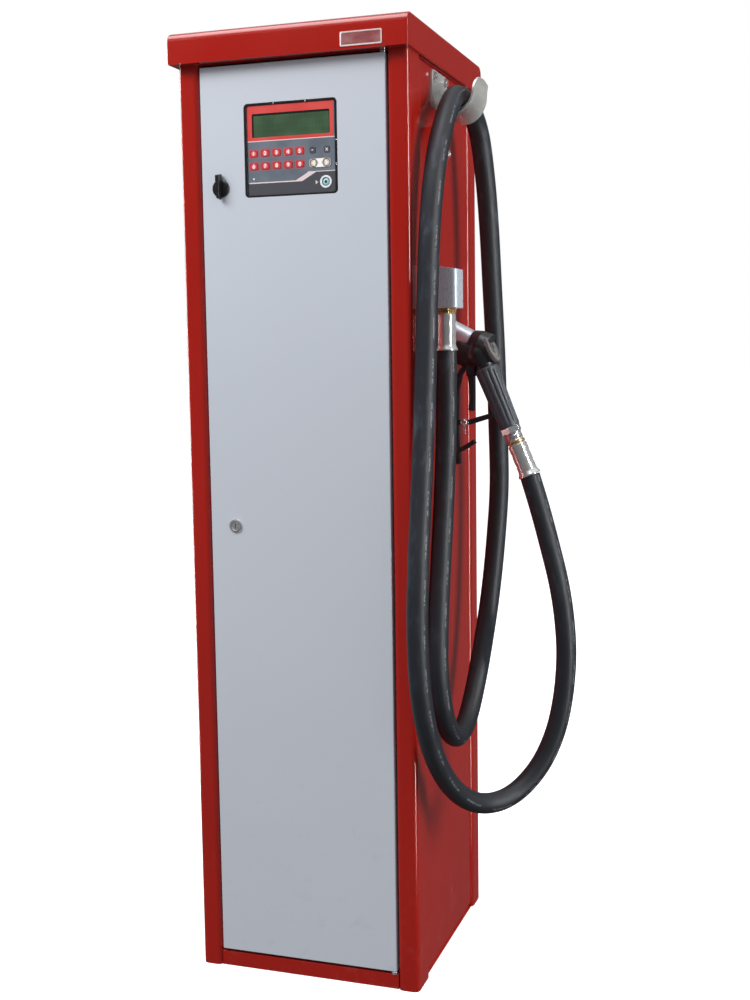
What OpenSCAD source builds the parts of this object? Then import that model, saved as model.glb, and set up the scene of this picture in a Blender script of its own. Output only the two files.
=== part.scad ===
// Free-standing fuel dispenser: a red sheet-metal cabinet with a hinged door, a keypad
// display, a hose hook, a delivery hose and an automatic nozzle in a side boot.
// X runs to the right, Y to the back and Z up. The origin is on the floor, under the
// middle of the four posts. All sizes are in millimetres.

/* [Cabinet] */
// Width over the posts
cab_w = 375; // [300:5:460]
// Depth over the posts
cab_d = 395; // [330:5:480]
// Height to the top of the roof cap
cab_h = 1500; // [1250:10:1800]
// Thickness of the posts' and panels' sheet
sheet = 2; // [1.5:0.5:3]
// Width of each post on the front
post_w = 34; // [28:1:42]
// Depth of the two front posts on the side
post_front_d = 63; // [50:1:76]
// Depth of the two rear posts on the side
post_rear_d = 50; // [40:1:60]
// Rounding of the posts' corners
post_r = 9; // [6:1:12]
// How far the side and rear panels sit behind the posts' faces
panel_recess = 4; // [2:1:6]

/* [Roof and base] */
// Height of the roof cap's rim
cap_h = 48; // [38:1:58]
// Roof overhang at each side
cap_side = 6; // [4:1:12]
// Roof overhang at the front
cap_front = 22; // [15:1:30]
// Roof overhang at the back
cap_back = 18; // [10:1:25]
// Radius of the roof's long top bends
cap_r = 14; // [8:1:16]
// Thickness of the base plate
base_t = 3; // [2:0.5:6]
// Distance between the anchor holes across the width
anchor_x = 260; // [210:5:270]
// Distance between the anchor holes along the depth
anchor_y = 270; // [220:5:280]
// Radius of each anchor hole
anchor_r = 7; // [5:0.5:9]

/* [Door] */
// Gap between the door and each post
door_gap = 2.5; // [2:0.5:4]
// Depth of the door's folded edges
door_d = 22; // [18:1:28]
// Thickness of the door's sheet
door_t = 1.5; // [1:0.5:2]
// Height of the door's lower edge
door_z = 29; // [27:1:40]
// Distance from the cabinet's top down to the wing knob's centre
knob_drop = 235.5; // [200:0.5:350]
// Height of the key lock's centre
lock_z = 737.5; // [500:0.5:1000]
// Radius of the wing knob
knob_r = 14; // [11:0.5:18]
// Radius of the key lock's flange
lock_r = 10.5; // [9:0.5:14]
// Radius of the two hinge pins
pin_r = 2.5; // [2:0.5:3]

/* [Keypad and display] */
// Width of the keypad plate
pad_w = 143; // [138:1:150]
// Height of the keypad plate
pad_h = 134; // [130:1:142]
// Distance from the cabinet's top down to the keypad plate's centre
pad_drop = 181.2; // [160:0.1:300]
// Distance between key columns
key_pitch_x = 19; // [16:0.5:20]
// Distance between key rows
key_pitch_z = 19.3; // [14:0.1:21]
// Width of a digit key
key_w = 13; // [10:0.5:14]
// Height of a digit key
key_h = 9.5; // [8:0.5:11]
// How far a key goes down
key_travel = 1; // [0.5:0.1:1.2]
// Radius of the round fob reader
reader_r = 9.5; // [8:0.5:11]

/* [Side fittings] */
// Outer radius of the delivery hose
hose_r = 16.5; // [13:0.5:18]
// Distance from the side panel to the outlet's axis
outlet_reach = 32.5; // [26:0.5:56]
// Place of the outlet's axis along the depth
outlet_y = -108; // [-110:1:-90]
// Height of the outlet pipe's axis
outlet_z = 1100; // [1090:1:1200]
// Width of the hose hook along the depth
hook_w = 86; // [70:1:100]
// Inner radius of the hook's cradle
hook_r = 32; // [28:1:40]
// Distance from the cabinet's top down to the cradle's seat, under the hose
seat_drop = 109; // [108:1:120]
// Radius that the cradle is curved to along the hose
saddle_r = 66; // [58:1:68]
// Thickness of the hook's plate
hook_t = 3; // [2:0.5:4]

/* [Nozzle] */
// Angle of the spout above the horizontal
spout_rise = 27; // [20:1:35]
// Outer radius of the spout tube
spout_r = 12.5; // [10:0.5:14]
// Radius of the spout's collar, which seats in the boot
collar_r = 16; // [15:0.5:18]
// Angle of the handle below the horizontal
handle_fall = 67.5; // [60:0.5:75]
// Radius of the handle's core
core_r = 16; // [14:0.5:17]
// Outer radius of the grip sleeve
grip_r = 18.5; // [18:0.5:22]
// Length of the grip sleeve
grip_len = 104; // [90:1:115]
// Outer radius of the crimped ferrules
ferrule_r = 15.5; // [14:0.5:18]
// Length of the spout below its collar
spout_len = 112; // [80:1:120]

/* [Pump set] */
// Height of the equipment shelf
shelf_z = 300; // [240:5:340]
// Radius of the motor
motor_r = 62; // [50:1:66]
// Length of the motor without its cowl
motor_len = 140; // [110:1:150]
// Radius of the pump shaft
shaft_r = 9.5; // [8:0.5:11]
// Radius of the pump's rotor
rotor_r = 30; // [24:1:32]
// Outer radius of the pipes
pipe_r = 13; // [11:0.5:14]
// Radius of the filter canister
filter_r = 38; // [32:1:42]

/* [Hidden] */
$fn = 48;
eps = 0.01;             // cutters run this far past a face
fit = 0.3;              // clearance between pieces that move past each other
run = 0.05;             // radial running clearance of a shaft in its bore

front_y = -cab_d/2;
back_y = cab_d/2;
side_x = cab_w/2;
open_x = side_x - post_w;              // half the opening between the posts
cap_z = cab_h - cap_h;                 // rim of the roof cap
cap_t = 1.5;                           // sheet of the roof cap
post_top = cab_h - cap_t;
panel_x = side_x - panel_recess;       // outer face of the side panels
outlet_x = panel_x + outlet_reach;
panel_y0 = front_y + post_front_d;     // front edge of the side panels
panel_y1 = back_y - post_rear_d;       // back edge of the side panels
panel_z0 = 10;
panel_z1 = cap_z - 2;
knob_z = cab_h - knob_drop;
pad_z = cab_h - pad_drop;
seat_z = cab_h - seat_drop;

sill_h = 21;
rail_d = 40;
rail_inset = 3.5;                      // the sill and the header stand behind the posts
header_h = 24;

door_x = open_x - door_gap;            // half the door's width
door_y = front_y + 1;                  // outer face of the door
door_top = cap_z - 3;
door_back = door_y + door_d;
hinge_x = door_x - 4.5;
hinge_y = door_y + 4.5;
washer_r = 5;
pin_len = 16;

knob_x = -door_x + 32;
lock_x = -door_x + 42.5;
cam_y = door_back + 1;                 // front face of both cams
cam_t = 2.5;
cam_w = 14;
cam_reach = 11;                        // how far a cam goes past the post's face
slot_y = 5.5;                          // height of the cam slots in the post
knob_shaft_r = 8;
plug_r = 6;

pad_x = -2.2;
pad_y = door_y + 2;                    // front face of the keypad plate
pad_t = 3;
frame_rim = 4;                         // rim of the display frame beside the plate
frame_w = pad_w + 2*frame_rim + 2*fit;
frame_h = pad_h + 2*frame_rim - 2 + 2*fit;
cut_w = frame_w + 2*fit;
cut_h = frame_h + 2*fit;
lcd_w = 127;
lcd_h = 35.6;
lcd_z = pad_z + 37.1;
key_x0 = pad_x - 61.4;                 // first column of keys
key_z0 = pad_z - 4.5;                  // upper row of keys
key_lip = 1;                           // flange round a key, behind the plate
key_out = key_travel + 0.1;            // how far a key stands out of the plate
fn_w = 9;                              // the two small function keys
minus_x = pad_x + 35.4;
cancel_x = pad_x + 58.6;
rocker_x = pad_x + 47.4;
rocker_w = 35;
rocker_h = 13;
reader_x = pad_x + 56.4;
reader_z = pad_z - 52.4;
board_t = 1.6;
module_d = 7;
box_d = 45;
box_t = 2;
box_lap = 6;                           // how far the box reaches past the cut-out

hook_y = -28;
hook_z = seat_z + hook_r;              // centre line of the cradle
hook_x = panel_x + hook_t + hook_r;    // axis of the cradle
hook_plate_h = 57;
hook_plate_low = 34;                   // the plate's lower edge below the cradle's centre
tongue_h = 10;                         // the tongue's top above the cradle's centre
hook_corner = 26;
bolt_dy = 32;
bolt_dz = 14;

hood_w = 44;
hood_t = 1.5;
hood_top = 43;                         // top of the hood above the outlet's axis
hood_low = 25;                         // bottom of the hood below the axis
hood_out = 24;                         // the hood's lip past the outlet's axis
elbow = 27;
outlet_nut_z = outlet_z - hood_low - 7;
ferrule_len = 58;
flare_r = ferrule_r + 3;
flare_len = 9;

head = [panel_x + 59.5, 0, 1005];                 // where the handle's axis meets the nozzle's head
spout_root = head + [3, 0, 13];
spout_turn = spout_rise - 90;
handle_turn = 90 + handle_fall;
cap_turn = 65.5;
head_r = 25;
cap_disc_r = 25;
cap_disc_t = 8;
cap_disc_at = 17;                      // from the head's centre to the disc's back
collar_from = 20;
collar_to = (spout_root[0] - panel_x)/cos(spout_rise) + 8;
spout_to = collar_to + spout_len;
grip_from = head_r + 1;
grip_to = grip_from + grip_len;
swivel_len = 28;
swivel_to = grip_to + swivel_len;
nozzle_ferrule_len = 56.5;
hose_end_t = swivel_to + nozzle_ferrule_len;
boot_wall = 4.7;
boot_r = collar_r + fit + boot_wall;
boot_to = spout_to + 20;
boot_plate_half = 40;                  // half the height of the boot's flange
boot_z = spout_root[2] + (spout_root[0] - panel_x)*tan(spout_rise);
hook_low = hook_z - hook_plate_low;
eyelet_z = boot_z + boot_plate_half + 0.8*(hook_low - boot_z - boot_plate_half);
trigger_pivot = head + [-15, 0, -31];
trigger_pin_r = 2.5;
trigger_w = 14;
lug_t = 3.5;
guard_w = 12;
guard_t = 5;
latch_pivot = head + [-25, 0, -112];
latch_r = 6.5;

shelf_y1 = panel_y1 - 2;
plate_y = 100;                         // front face of the vertical equipment plate
plate_t = 3;
plate_top = cab_h - 260;
motor_z = shelf_z + plate_t + motor_r + 18;
motor_x0 = -120;
cowl_len = 40;
pump_x0 = motor_x0 + motor_len;
pump_len = 90;
pump_half = 50;
chamber_r = rotor_r + 4;
chamber_x0 = pump_x0 + 38;
chamber_len = 40;
port_x = pump_x0 + 60;
pipe_bore = pipe_r - 3;
riser_y = outlet_y;
pipe_elbow = 32;
filter_z0 = motor_z + pump_half + 90;
filter_len = 180;
meter_z0 = filter_z0 + filter_len + 80;
meter_w = 110;
meter_d = 90;
meter_h = 100;
meter_rotor_r = 32;
inlet_r = 16.6;
inlet_len = 20;
coupling_z = 20;
coupling_len = 36;
coupling_r = 25;
entry_w = 150;                         // pipe and cable entry in the base plate
entry_d = 100;
entry_x = 45;

// Route of the hose, from the outlet ferrule, round the inner loop, over the hook and
// round the big loop to the nozzle.
hose_route = [
    [outlet_x, outlet_y, outlet_nut_z - ferrule_len],
    [216, -108, 960], [215, -108, 880], [213, -115, 785], [212, -132, 690],
    [212, -150, 600], [214, -162, 520], [217, -150, 452], [220, -118, 405],
    [221, -68, 385], [222, -14, 400], [226, 30, 452], [232, 62, 522], [239, 84, 602],
    [245, 98, 690], [249, 106, 780], [248, 104, 880], [246, 97, 1000], [242, 92, 1110],
    [238, 88, 1210], [234, 79, 1290], [229, 60, 1360], [224, 22, 1398], [221, -4, 1406],
    [219, -28, 1408], [219, -53, 1404], [219, -78, 1392], [219, -118, 1356],
    [217, -148, 1310], [214, -168, 1250], [211, -180, 1170], [209, -187, 1070],
    [208, -195, 970], [207, -207, 870], [206, -222, 770], [206, -238, 680],
    [206, -245, 590], [208, -240, 505], [212, -222, 437], [219, -193, 379],
    [231, -158, 331], [248, -122, 298], [270, -86, 281], [296, -56, 282],
    [322, -31, 300], [348, -13, 336], [368, -3, 386], [380, 0, 445], [385, 0, 510],
    [382, 0, 570], [373, 0, 630], [358, 0, 692], [341, 0, 755],
    nozzle_point(hose_end_t)
];
joint_at = 42;                         // the route's point where the two hose parts meet
hose_sides = 10;
ring_step = 52;                        // distance between rings, nearly

paint_red = [0.66, 0.13, 0.11];
door_grey = [0.76, 0.78, 0.82];
black = [0.08, 0.08, 0.09];
rubber = [0.16, 0.17, 0.18];
chrome = [0.78, 0.79, 0.80];
brass = [0.78, 0.62, 0.32];
alloy = [0.70, 0.72, 0.74];
key_red = [0.75, 0.16, 0.18];

digits = ["1", "2", "3", "4", "5", "6", "7", "8", "9", "0"];

// ---- shared shapes ----

// Points of a rectangle with round corners, from one corner to the other.
function round_rect(x0, y0, x1, y1, r, n = 5) = [
    for (c = [[x1 - r, y1 - r, 0], [x0 + r, y1 - r, 90], [x0 + r, y0 + r, 180],
              [x1 - r, y0 + r, 270]])
        for (i = [0:n])
            [c[0] + r*cos(c[2] + 90*i/n), c[1] + r*sin(c[2] + 90*i/n)]
];

// Outline of a strip of constant thickness along a bent line.
function strip(line, t) = concat(
    [for (i = [0:len(line) - 1]) line[i] + strip_normal(line, i)*t/2],
    [for (i = [len(line) - 1:-1:0]) line[i] - strip_normal(line, i)*t/2]);
function strip_normal(line, i) =
    let (a = line[max(i - 1, 0)], b = line[min(i + 1, len(line) - 1)], d = b - a)
    [-d[1], d[0]]/norm(d);

// A box from its lowest to its highest corner.
module block(x0, x1, y0, y1, z0, z1) {
    translate([x0, y0, z0]) cube([x1 - x0, y1 - y0, z1 - z0]);
}

// An outline in the XZ plane, made thick along Y.
module upright(y0, y1) {
    translate([0, y1, 0]) rotate([90, 0, 0]) linear_extrude(y1 - y0) children();
}

// A cylinder along X and one along Y.
module rod_x(x0, x1, y, z, r) {
    translate([x0, y, z]) rotate([0, 90, 0]) cylinder(r = r, h = x1 - x0);
}
module rod_y(y0, y1, x, z, r) {
    translate([x, y1, z]) rotate([90, 0, 0]) cylinder(r = r, h = y1 - y0);
}
module rod_z(z0, z1, x, y, r) {
    translate([x, y, z0]) cylinder(r = r, h = z1 - z0);
}

// ---- cabinet ----

module post(x0, x1, y0, y1) {
    color(paint_red) linear_extrude(post_top) difference() {
        polygon(round_rect(x0, y0, x1, y1, post_r));
        polygon(round_rect(x0 + sheet, y0 + sheet, x1 - sheet, y1 - sheet, post_r - sheet));
    }
}

// Slot in the post that a cam turns into from below.
module cam_slot(x, z) {
    reach = -open_x - cam_reach;
    swing = sqrt(pow(x - reach + 1, 2) - pow(x + open_x, 2));
    block(-open_x - sheet - 1, -open_x + 1, cam_y - 1.5, cam_y - 1.5 + slot_y,
          z - swing - 4, z + cam_w/2 + 4);
}

module front_left_post() {
    difference() {
        post(-side_x, -open_x, front_y, panel_y0);
        cam_slot(knob_x, knob_z);
        cam_slot(lock_x, lock_z);
    }
}
module front_right_post() { post(open_x, side_x, front_y, panel_y0); }
module rear_left_post() { post(-side_x, -open_x, panel_y1, back_y); }
module rear_right_post() { post(open_x, side_x, panel_y1, back_y); }

module base_plate() {
    color(paint_red) difference() {
        block(-panel_x, panel_x, front_y + rail_inset, back_y - rail_inset, 0, base_t);
        for (x = [-1, 1]) {
            translate([x*(open_x + post_w/2), 0, 0]) {
                block(-post_w/2, post_w/2, front_y, panel_y0, -1, base_t + 1);
                block(-post_w/2, post_w/2, panel_y1, back_y, -1, base_t + 1);
            }
            for (y = [-1, 1]) rod_z(-1, base_t + 1, x*anchor_x/2, y*anchor_y/2, anchor_r);
        }
        block(entry_x - entry_w/2, entry_x + entry_w/2, -entry_d/2, entry_d/2, -1, base_t + 1);
    }
}

module rail(y0, z0, h) {
    color(paint_red) difference() {
        block(-open_x, open_x, y0, y0 + rail_d, z0, z0 + h);
        block(-open_x - 1, open_x + 1, y0 + sheet, y0 + rail_d - sheet, z0 + sheet, z0 + h - sheet);
    }
}
module front_sill() { rail(front_y + rail_inset, base_t, sill_h); }
module front_header() { rail(front_y + rail_inset, cap_z, header_h); }

module side_panel(x0) {
    block(x0, x0 + sheet, panel_y0, panel_y1, panel_z0, panel_z1);
}
module left_panel() { color(paint_red) side_panel(-panel_x); }
module right_panel() {
    color(paint_red) difference() {
        side_panel(panel_x - sheet);
        rod_x(panel_x - sheet - 1, panel_x + 1, outlet_y, outlet_z, pipe_r);
        translate(spout_root) rotate([0, spout_turn, 0])
            cylinder(r = boot_r + fit, h = boot_to);
    }
}

module rear_panel() {
    louvre_w = 120;
    louvre_h = 6;
    y0 = back_y - panel_recess - sheet;
    color(paint_red) difference() {
        block(-open_x, open_x, y0, y0 + sheet, panel_z0, panel_z1);
        for (z0 = [180, panel_z1 - 210]) for (i = [0:5]) for (x = [-1, 1])
            translate([x*(louvre_w/2 + 8), 0, z0 + i*20])
                block(-louvre_w/2, louvre_w/2, y0 - 1, y0 + sheet + 1, 0, louvre_h);
    }
}

// Cross-section of the roof cap along Y and Z, with round top bends.
function cap_outline(inset) = let (
    y0 = front_y - cap_front + inset, y1 = back_y + cap_back - inset,
    z1 = cab_h - inset, r = cap_r - inset, n = 6) concat(
    [[y0, cap_z], [y1, cap_z]],
    [for (i = [0:n]) [y1 - r + r*cos(90*i/n), z1 - r + r*sin(90*i/n)]],
    [for (i = [0:n]) [y0 + r - r*sin(90*i/n), z1 - r + r*cos(90*i/n)]]);

module cap_solid(inset) {
    half = side_x + cap_side - inset;
    translate([-half, 0, 0]) rotate([90, 0, 90])
        linear_extrude(2*half) polygon(cap_outline(inset));
}

module roof_cap() {
    color(paint_red) difference() {
        cap_solid(0);
        intersection() {
            cap_solid(cap_t);
            block(-cab_w, cab_w, -cab_d, cab_d, cap_z + cap_t, cab_h);
        }
        block(-side_x - fit, side_x + fit, front_y - fit, back_y + fit, cap_z - 1, cap_z + cap_t + 1);
    }
}

// ---- door and its locks ----

module door() {
    corner = 12;
    boss_h = 14;
    color(door_grey) difference() {
        union() {
            difference() {
                block(-door_x, door_x, door_y, door_back, door_z, door_top);
                block(-door_x + door_t, door_x - door_t, door_y + door_t, door_back + 1,
                      door_z + door_t, door_top - door_t);
            }
            for (z = [door_z + door_t, door_top - door_t - boss_h])
                block(door_x - corner, door_x - door_t, door_y + door_t, door_y + corner,
                      z, z + boss_h);
        }
        for (z = [door_z - 1, door_top - pin_len - 1])
            rod_z(z, z + pin_len + 2, hinge_x, hinge_y, pin_r + run);
        upright(door_y - 1, door_y + door_t + 1)
            polygon(round_rect(pad_x - cut_w/2, pad_z - cut_h/2, pad_x + cut_w/2,
                               pad_z + cut_h/2, 6 + fit));
        rod_y(door_y - 1, door_y + door_t + 1, knob_x, knob_z, knob_shaft_r + run);
        rod_y(door_y - 1, door_y + door_t + 1, lock_x, lock_z, plug_r + 2);
    }
}

// Two shouldered pins, one on the sill and one under the header.
module hinge_pins() {
    sill_top = base_t + sill_h;
    color(chrome) {
        rod_z(sill_top, door_z - fit, hinge_x, hinge_y, washer_r);
        rod_z(door_z - fit, door_z + pin_len - 1, hinge_x, hinge_y, pin_r);
        rod_z(door_top + fit, cap_z, hinge_x, hinge_y, washer_r);
        rod_z(door_top - pin_len + 1, door_top + fit, hinge_x, hinge_y, pin_r);
    }
}

// A flat cam that hangs down when the lock is open.
module cam(x, z) {
    length = x + open_x + cam_reach;
    block(x - cam_w/2, x + cam_w/2, cam_y, cam_y + cam_t, z - length, z + cam_w/2);
}

module wing_knob() {
    fin_w = 7;
    fin_h = 15;
    color(black) {
        rod_y(door_y - 5, door_y - fit, knob_x, knob_z, knob_r);
        block(knob_x - fin_w/2, knob_x + fin_w/2, door_y - 17, door_y - 5,
              knob_z - fin_h, knob_z + fin_h);
        rod_y(door_y - fit, cam_y, knob_x, knob_z, knob_shaft_r);
        cam(knob_x, knob_z);
    }
}

module door_lock() {
    color(chrome) difference() {
        union() {
            rod_y(door_y - 2.5, door_y, lock_x, lock_z, lock_r);
            rod_y(door_y, cam_y - fit, lock_x, lock_z, plug_r + 2);
        }
        rod_y(door_y - 3, cam_y, lock_x, lock_z, plug_r + run);
    }
}

module lock_plug() {
    color(chrome) difference() {
        union() {
            rod_y(door_y - 3, cam_y, lock_x, lock_z, plug_r);
            cam(lock_x, lock_z);
        }
        block(lock_x - 0.7, lock_x + 0.7, door_y - 4, door_y + 4, lock_z - 4, lock_z + 4);
    }
}

// ---- keypad and display ----

// A rectangle centred on a place in the XZ plane.
module pad_rect(x, z, w, h, r) {
    polygon(round_rect(x - w/2, z - h/2, x + w/2, z + h/2, r, 4));
}

module display_frame() {
    color(black) upright(door_y + 0.2, pad_y + pad_t) difference() {
        pad_rect(pad_x, pad_z, frame_w, frame_h, 6);
        pad_rect(pad_x, pad_z, pad_w + 2*fit, pad_h + 2*fit, 3 + fit);
    }
}

function key_x(i) = key_x0 + (i % 5)*key_pitch_x;
function key_z(i) = key_z0 - floor(i/5)*key_pitch_z;

module keypad_plate() {
    color([0.62, 0.63, 0.64]) upright(pad_y, pad_y + pad_t) difference() {
        pad_rect(pad_x, pad_z, pad_w, pad_h, 3);
        pad_rect(pad_x, lcd_z, lcd_w, lcd_h, 2);
        for (i = [0:9]) pad_rect(key_x(i), key_z(i), key_w + 2*fit, key_h + 2*fit, 2 + fit);
        for (x = [minus_x, cancel_x])
            pad_rect(x, key_z0, fn_w + 2*fit, fn_w + 2*fit, 2 + fit);
        pad_rect(rocker_x, key_z(5), rocker_w + 2*fit, rocker_h + 2*fit, 4 + fit);
        translate([reader_x, reader_z]) circle(r = reader_r);
    }
}

module lcd_module() {
    color([0.20, 0.27, 0.18]) {
        upright(pad_y + 0.4, pad_y + pad_t) pad_rect(pad_x, lcd_z, lcd_w, lcd_h, 2);
        upright(pad_y + pad_t, pad_y + pad_t + module_d)
            pad_rect(pad_x, lcd_z, lcd_w + 6, lcd_h + 8, 2);
    }
}

module control_board() {
    y0 = pad_y + pad_t + module_d;
    color([0.10, 0.34, 0.20]) {
        block(pad_x - pad_w/2, pad_x + pad_w/2, y0, y0 + board_t, pad_z - pad_h/2, pad_z + pad_h/2);
        for (x = [-40, 0, 38])
            block(pad_x + x - 9, pad_x + x + 9, y0 + board_t, y0 + board_t + 8,
                  pad_z - 30, pad_z + 4);
    }
}

module control_box() {
    w = cut_w/2 + box_lap;
    h = cut_h/2 + box_lap;
    y0 = door_y + door_t;
    color([0.22, 0.23, 0.25]) difference() {
        block(pad_x - w, pad_x + w, y0, y0 + box_d, pad_z - h, pad_z + h);
        block(pad_x - w + box_t, pad_x + w - box_t, y0 - 1, y0 + box_d - box_t,
              pad_z - h + box_t, pad_z + h - box_t);
    }
}

// A key cap with a flange behind the plate.
module key(x, z, w, h, r) {
    upright(pad_y - key_out, pad_y + pad_t + fit) pad_rect(x, z, w, h, r);
    upright(pad_y + pad_t + fit, pad_y + pad_t + fit + key_lip)
        pad_rect(x, z, w + 2*key_lip, h + 2*key_lip, r);
}
module digit_key(i) { color(key_red) key(key_x(i), key_z(i), key_w, key_h, 2); }
module key_minus() { color(key_red) key(minus_x, key_z0, fn_w, fn_w, 2); }
module key_cancel() { color([0.72, 0.73, 0.74]) key(cancel_x, key_z0, fn_w, fn_w, 2); }
module arrow_rocker() {
    color([0.90, 0.88, 0.82]) key(rocker_x, key_z(5), rocker_w, rocker_h, 4);
}

module fob_reader() {
    color([0.62, 0.72, 0.80])
        rod_y(pad_y - 1.5, pad_y + pad_t + 4, reader_x, reader_z, reader_r);
}

// ---- hose hook and outlet ----

// The cradle and its tongue, as distance from the saddle's axis against X.
module cradle_profile() {
    n = 16;
    r = hook_r + hook_t/2;
    ring = [for (i = [0:n]) let (a = 180 + 180*i/n)
        [saddle_r + hook_r + r*sin(a), hook_x + r*cos(a)]];
    tongue = [[saddle_r + hook_r + tongue_h*0.5, hook_x + r + 1],
              [saddle_r + hook_r + tongue_h, hook_x + r + 4]];
    polygon(strip(concat(ring, tongue), hook_t));
}

module hose_hook() {
    y0 = hook_y - hook_w/2;
    y1 = hook_y + hook_w/2;
    low = seat_z - 3*hook_t - saddle_r;
    sweep = asin(hook_w/2/saddle_r);
    color(alloy) difference() {
        union() {
            intersection() {
                translate([0, hook_y, seat_z - saddle_r]) rotate([0, 90, 0])
                    rotate([0, 0, 180 - sweep - 5]) rotate_extrude(angle = 2*sweep + 10, $fn = 96)
                        cradle_profile();
                translate([panel_x, 0, 0]) rotate([90, 0, 90]) linear_extrude(cab_w)
                    polygon(round_rect(y0, low, y1, hook_z + tongue_h, hook_corner));
            }
            translate([panel_x, 0, 0]) rotate([90, 0, 90]) linear_extrude(hook_t)
                polygon(round_rect(y0, hook_low, y1, hook_low + hook_plate_h, 8));
        }
        for (y = [-1, 1]) rod_x(panel_x - 1, panel_x + hook_t + 1, hook_y + y*bolt_dy,
                                hook_z + bolt_dz, 4.2);
    }
}

// Two bolts of the hook and the eyelet screw below it, each a separate solid.
module side_bolts() {
    color(chrome) {
        for (y = [-1, 1]) translate([0, hook_y + y*bolt_dy, hook_z + bolt_dz]) {
            rod_x(panel_x + hook_t, panel_x + hook_t + 5, 0, 0, 6.5);
            rod_x(panel_x, panel_x + hook_t, 0, 0, 4.2);
        }
        rod_x(panel_x, panel_x + 4, 30, eyelet_z, 6);
    }
}

// Sheet-metal hood over the outlet, open below and towards the panel.
module outlet_hood() {
    x0 = panel_x;
    x1 = outlet_x + hood_out;
    z0 = outlet_z - hood_low;
    z1 = outlet_z + hood_top;
    y0 = outlet_y - hood_w/2;
    color(alloy) difference() {
        upright(y0, y0 + hood_w)
            polygon([[x0, z0], [x1, z0], [x1, z0 + 34], [x0 + 14, z1], [x0, z1]]);
        upright(y0 + hood_t, y0 + hood_w - hood_t)
            polygon([[x0 - 1, z0 - 1], [x1 - hood_t, z0 - 1], [x1 - hood_t, z0 + 33],
                     [x0 + 13.4, z1 - hood_t], [x0 - 1, z1 - hood_t]]);
    }
}

module outlet_elbow() {
    color(brass) difference() {
        union() {
            translate([outlet_x, outlet_y, outlet_z]) cube(elbow, center = true);
            rod_x(panel_x - 12, outlet_x - elbow/2 + eps, outlet_y, outlet_z, pipe_r);
            rod_z(outlet_nut_z + 10, outlet_z - elbow/2 + eps, outlet_x, outlet_y, pipe_r - 1);
            translate([outlet_x, outlet_y, outlet_nut_z]) cylinder(r = 17, h = 10, $fn = 6);
        }
        rod_x(panel_x - 13, outlet_x, outlet_y, outlet_z, pipe_bore);
        rod_z(outlet_nut_z - 1, outlet_z, outlet_x, outlet_y, pipe_bore);
    }
}

// Crimped ferrule along local Z, with its flared end at the top.
module ferrule(length) {
    rotate_extrude() polygon([[0, 0], [ferrule_r - 2, 0], [ferrule_r, 2],
        [ferrule_r, length - flare_len], [flare_r, length - flare_len/3],
        [flare_r, length], [0, length]]);
}
module outlet_ferrule() {
    color(chrome) translate([outlet_x, outlet_y, outlet_nut_z]) rotate([180, 0, 0])
        ferrule(ferrule_len);
}

// ---- hose ----

// Point on a smooth curve through four of the route's points, and its direction.
function spline(p, i, t) = let (
    a = p[max(i - 1, 0)], b = p[i], c = p[i + 1], d = p[min(i + 2, len(p) - 1)])
    0.5*((2*b) + (c - a)*t + (2*a - 5*b + 4*c - d)*t*t + (3*b - a - 3*c + d)*t*t*t);
function spline_way(p, i, t) = let (
    a = p[max(i - 1, 0)], b = p[i], c = p[i + 1], d = p[min(i + 2, len(p) - 1)],
    v = (c - a) + 2*(2*a - 5*b + 4*c - d)*t + 3*(3*b - a - 3*c + d)*t*t)
    v/norm(v);
function unit(v) = v/norm(v);

// One ring of the tube: its sides lie round the direction, from a fixed side vector.
function ring(centre, way, side, r) = let (
    u = unit(side - (side*way)*way), v = cross(way, u))
    [for (k = [0:hose_sides - 1])
        centre + r*(u*cos(360*k/hose_sides) + v*sin(360*k/hose_sides))];

// Tube along the route from one of its points to another.
module hose_tube(from, to, side, first_way, last_way, skip = 0) {
    first = skip/norm(hose_route[from + 1] - hose_route[from]);
    steps = [for (i = [from:to - 1])
        let (n = max(1, round(norm(hose_route[i + 1] - hose_route[i])/ring_step)))
        for (j = [0:n - 1]) [i, i == from && j == 0 ? first : j/n]];
    stops = concat(steps, [[to - 1, 1]]);
    rings = [for (k = [0:len(stops) - 1]) let (
        s = stops[k],
        way = k == 0 && first_way != undef ? first_way
            : k == len(stops) - 1 && last_way != undef ? last_way
            : spline_way(hose_route, s[0], s[1]))
        ring(spline(hose_route, s[0], s[1]), way, side, hose_r)];
    n = hose_sides;
    last = len(rings) - 1;
    walls = [for (i = [0:last - 1]) for (k = [0:n - 1]) let (m = (k + 1) % n)
        each [[i*n + k, (i + 1)*n + k, (i + 1)*n + m], [i*n + k, (i + 1)*n + m, i*n + m]]];
    ends = [[for (k = [0:n - 1]) k], [for (k = [n - 1:-1:0]) last*n + k]];
    polyhedron([for (r = rings) each r], concat(walls, ends));
}
module delivery_hose() {
    color(rubber) hose_tube(0, joint_at, [1, 0, 0], [0, 0, -1]);
}
module nozzle_hose() {
    color(rubber) hose_tube(joint_at, len(hose_route) - 1, [0, 1, 0], undef,
                            -unit(nozzle_point(hose_end_t) - head), fit);
}

// ---- nozzle ----

// A point on the handle's axis, at a distance from the head.
function nozzle_point(t) = head + t*[sin(handle_turn), 0, cos(handle_turn)];

// Local Z along the spout or along the handle.
module on_spout() { translate(spout_root) rotate([0, spout_turn, 0]) children(); }
module on_handle() { translate(head) rotate([0, handle_turn, 0]) children(); }
module on_cap() { translate(head) rotate([0, cap_turn, 0]) children(); }

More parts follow.
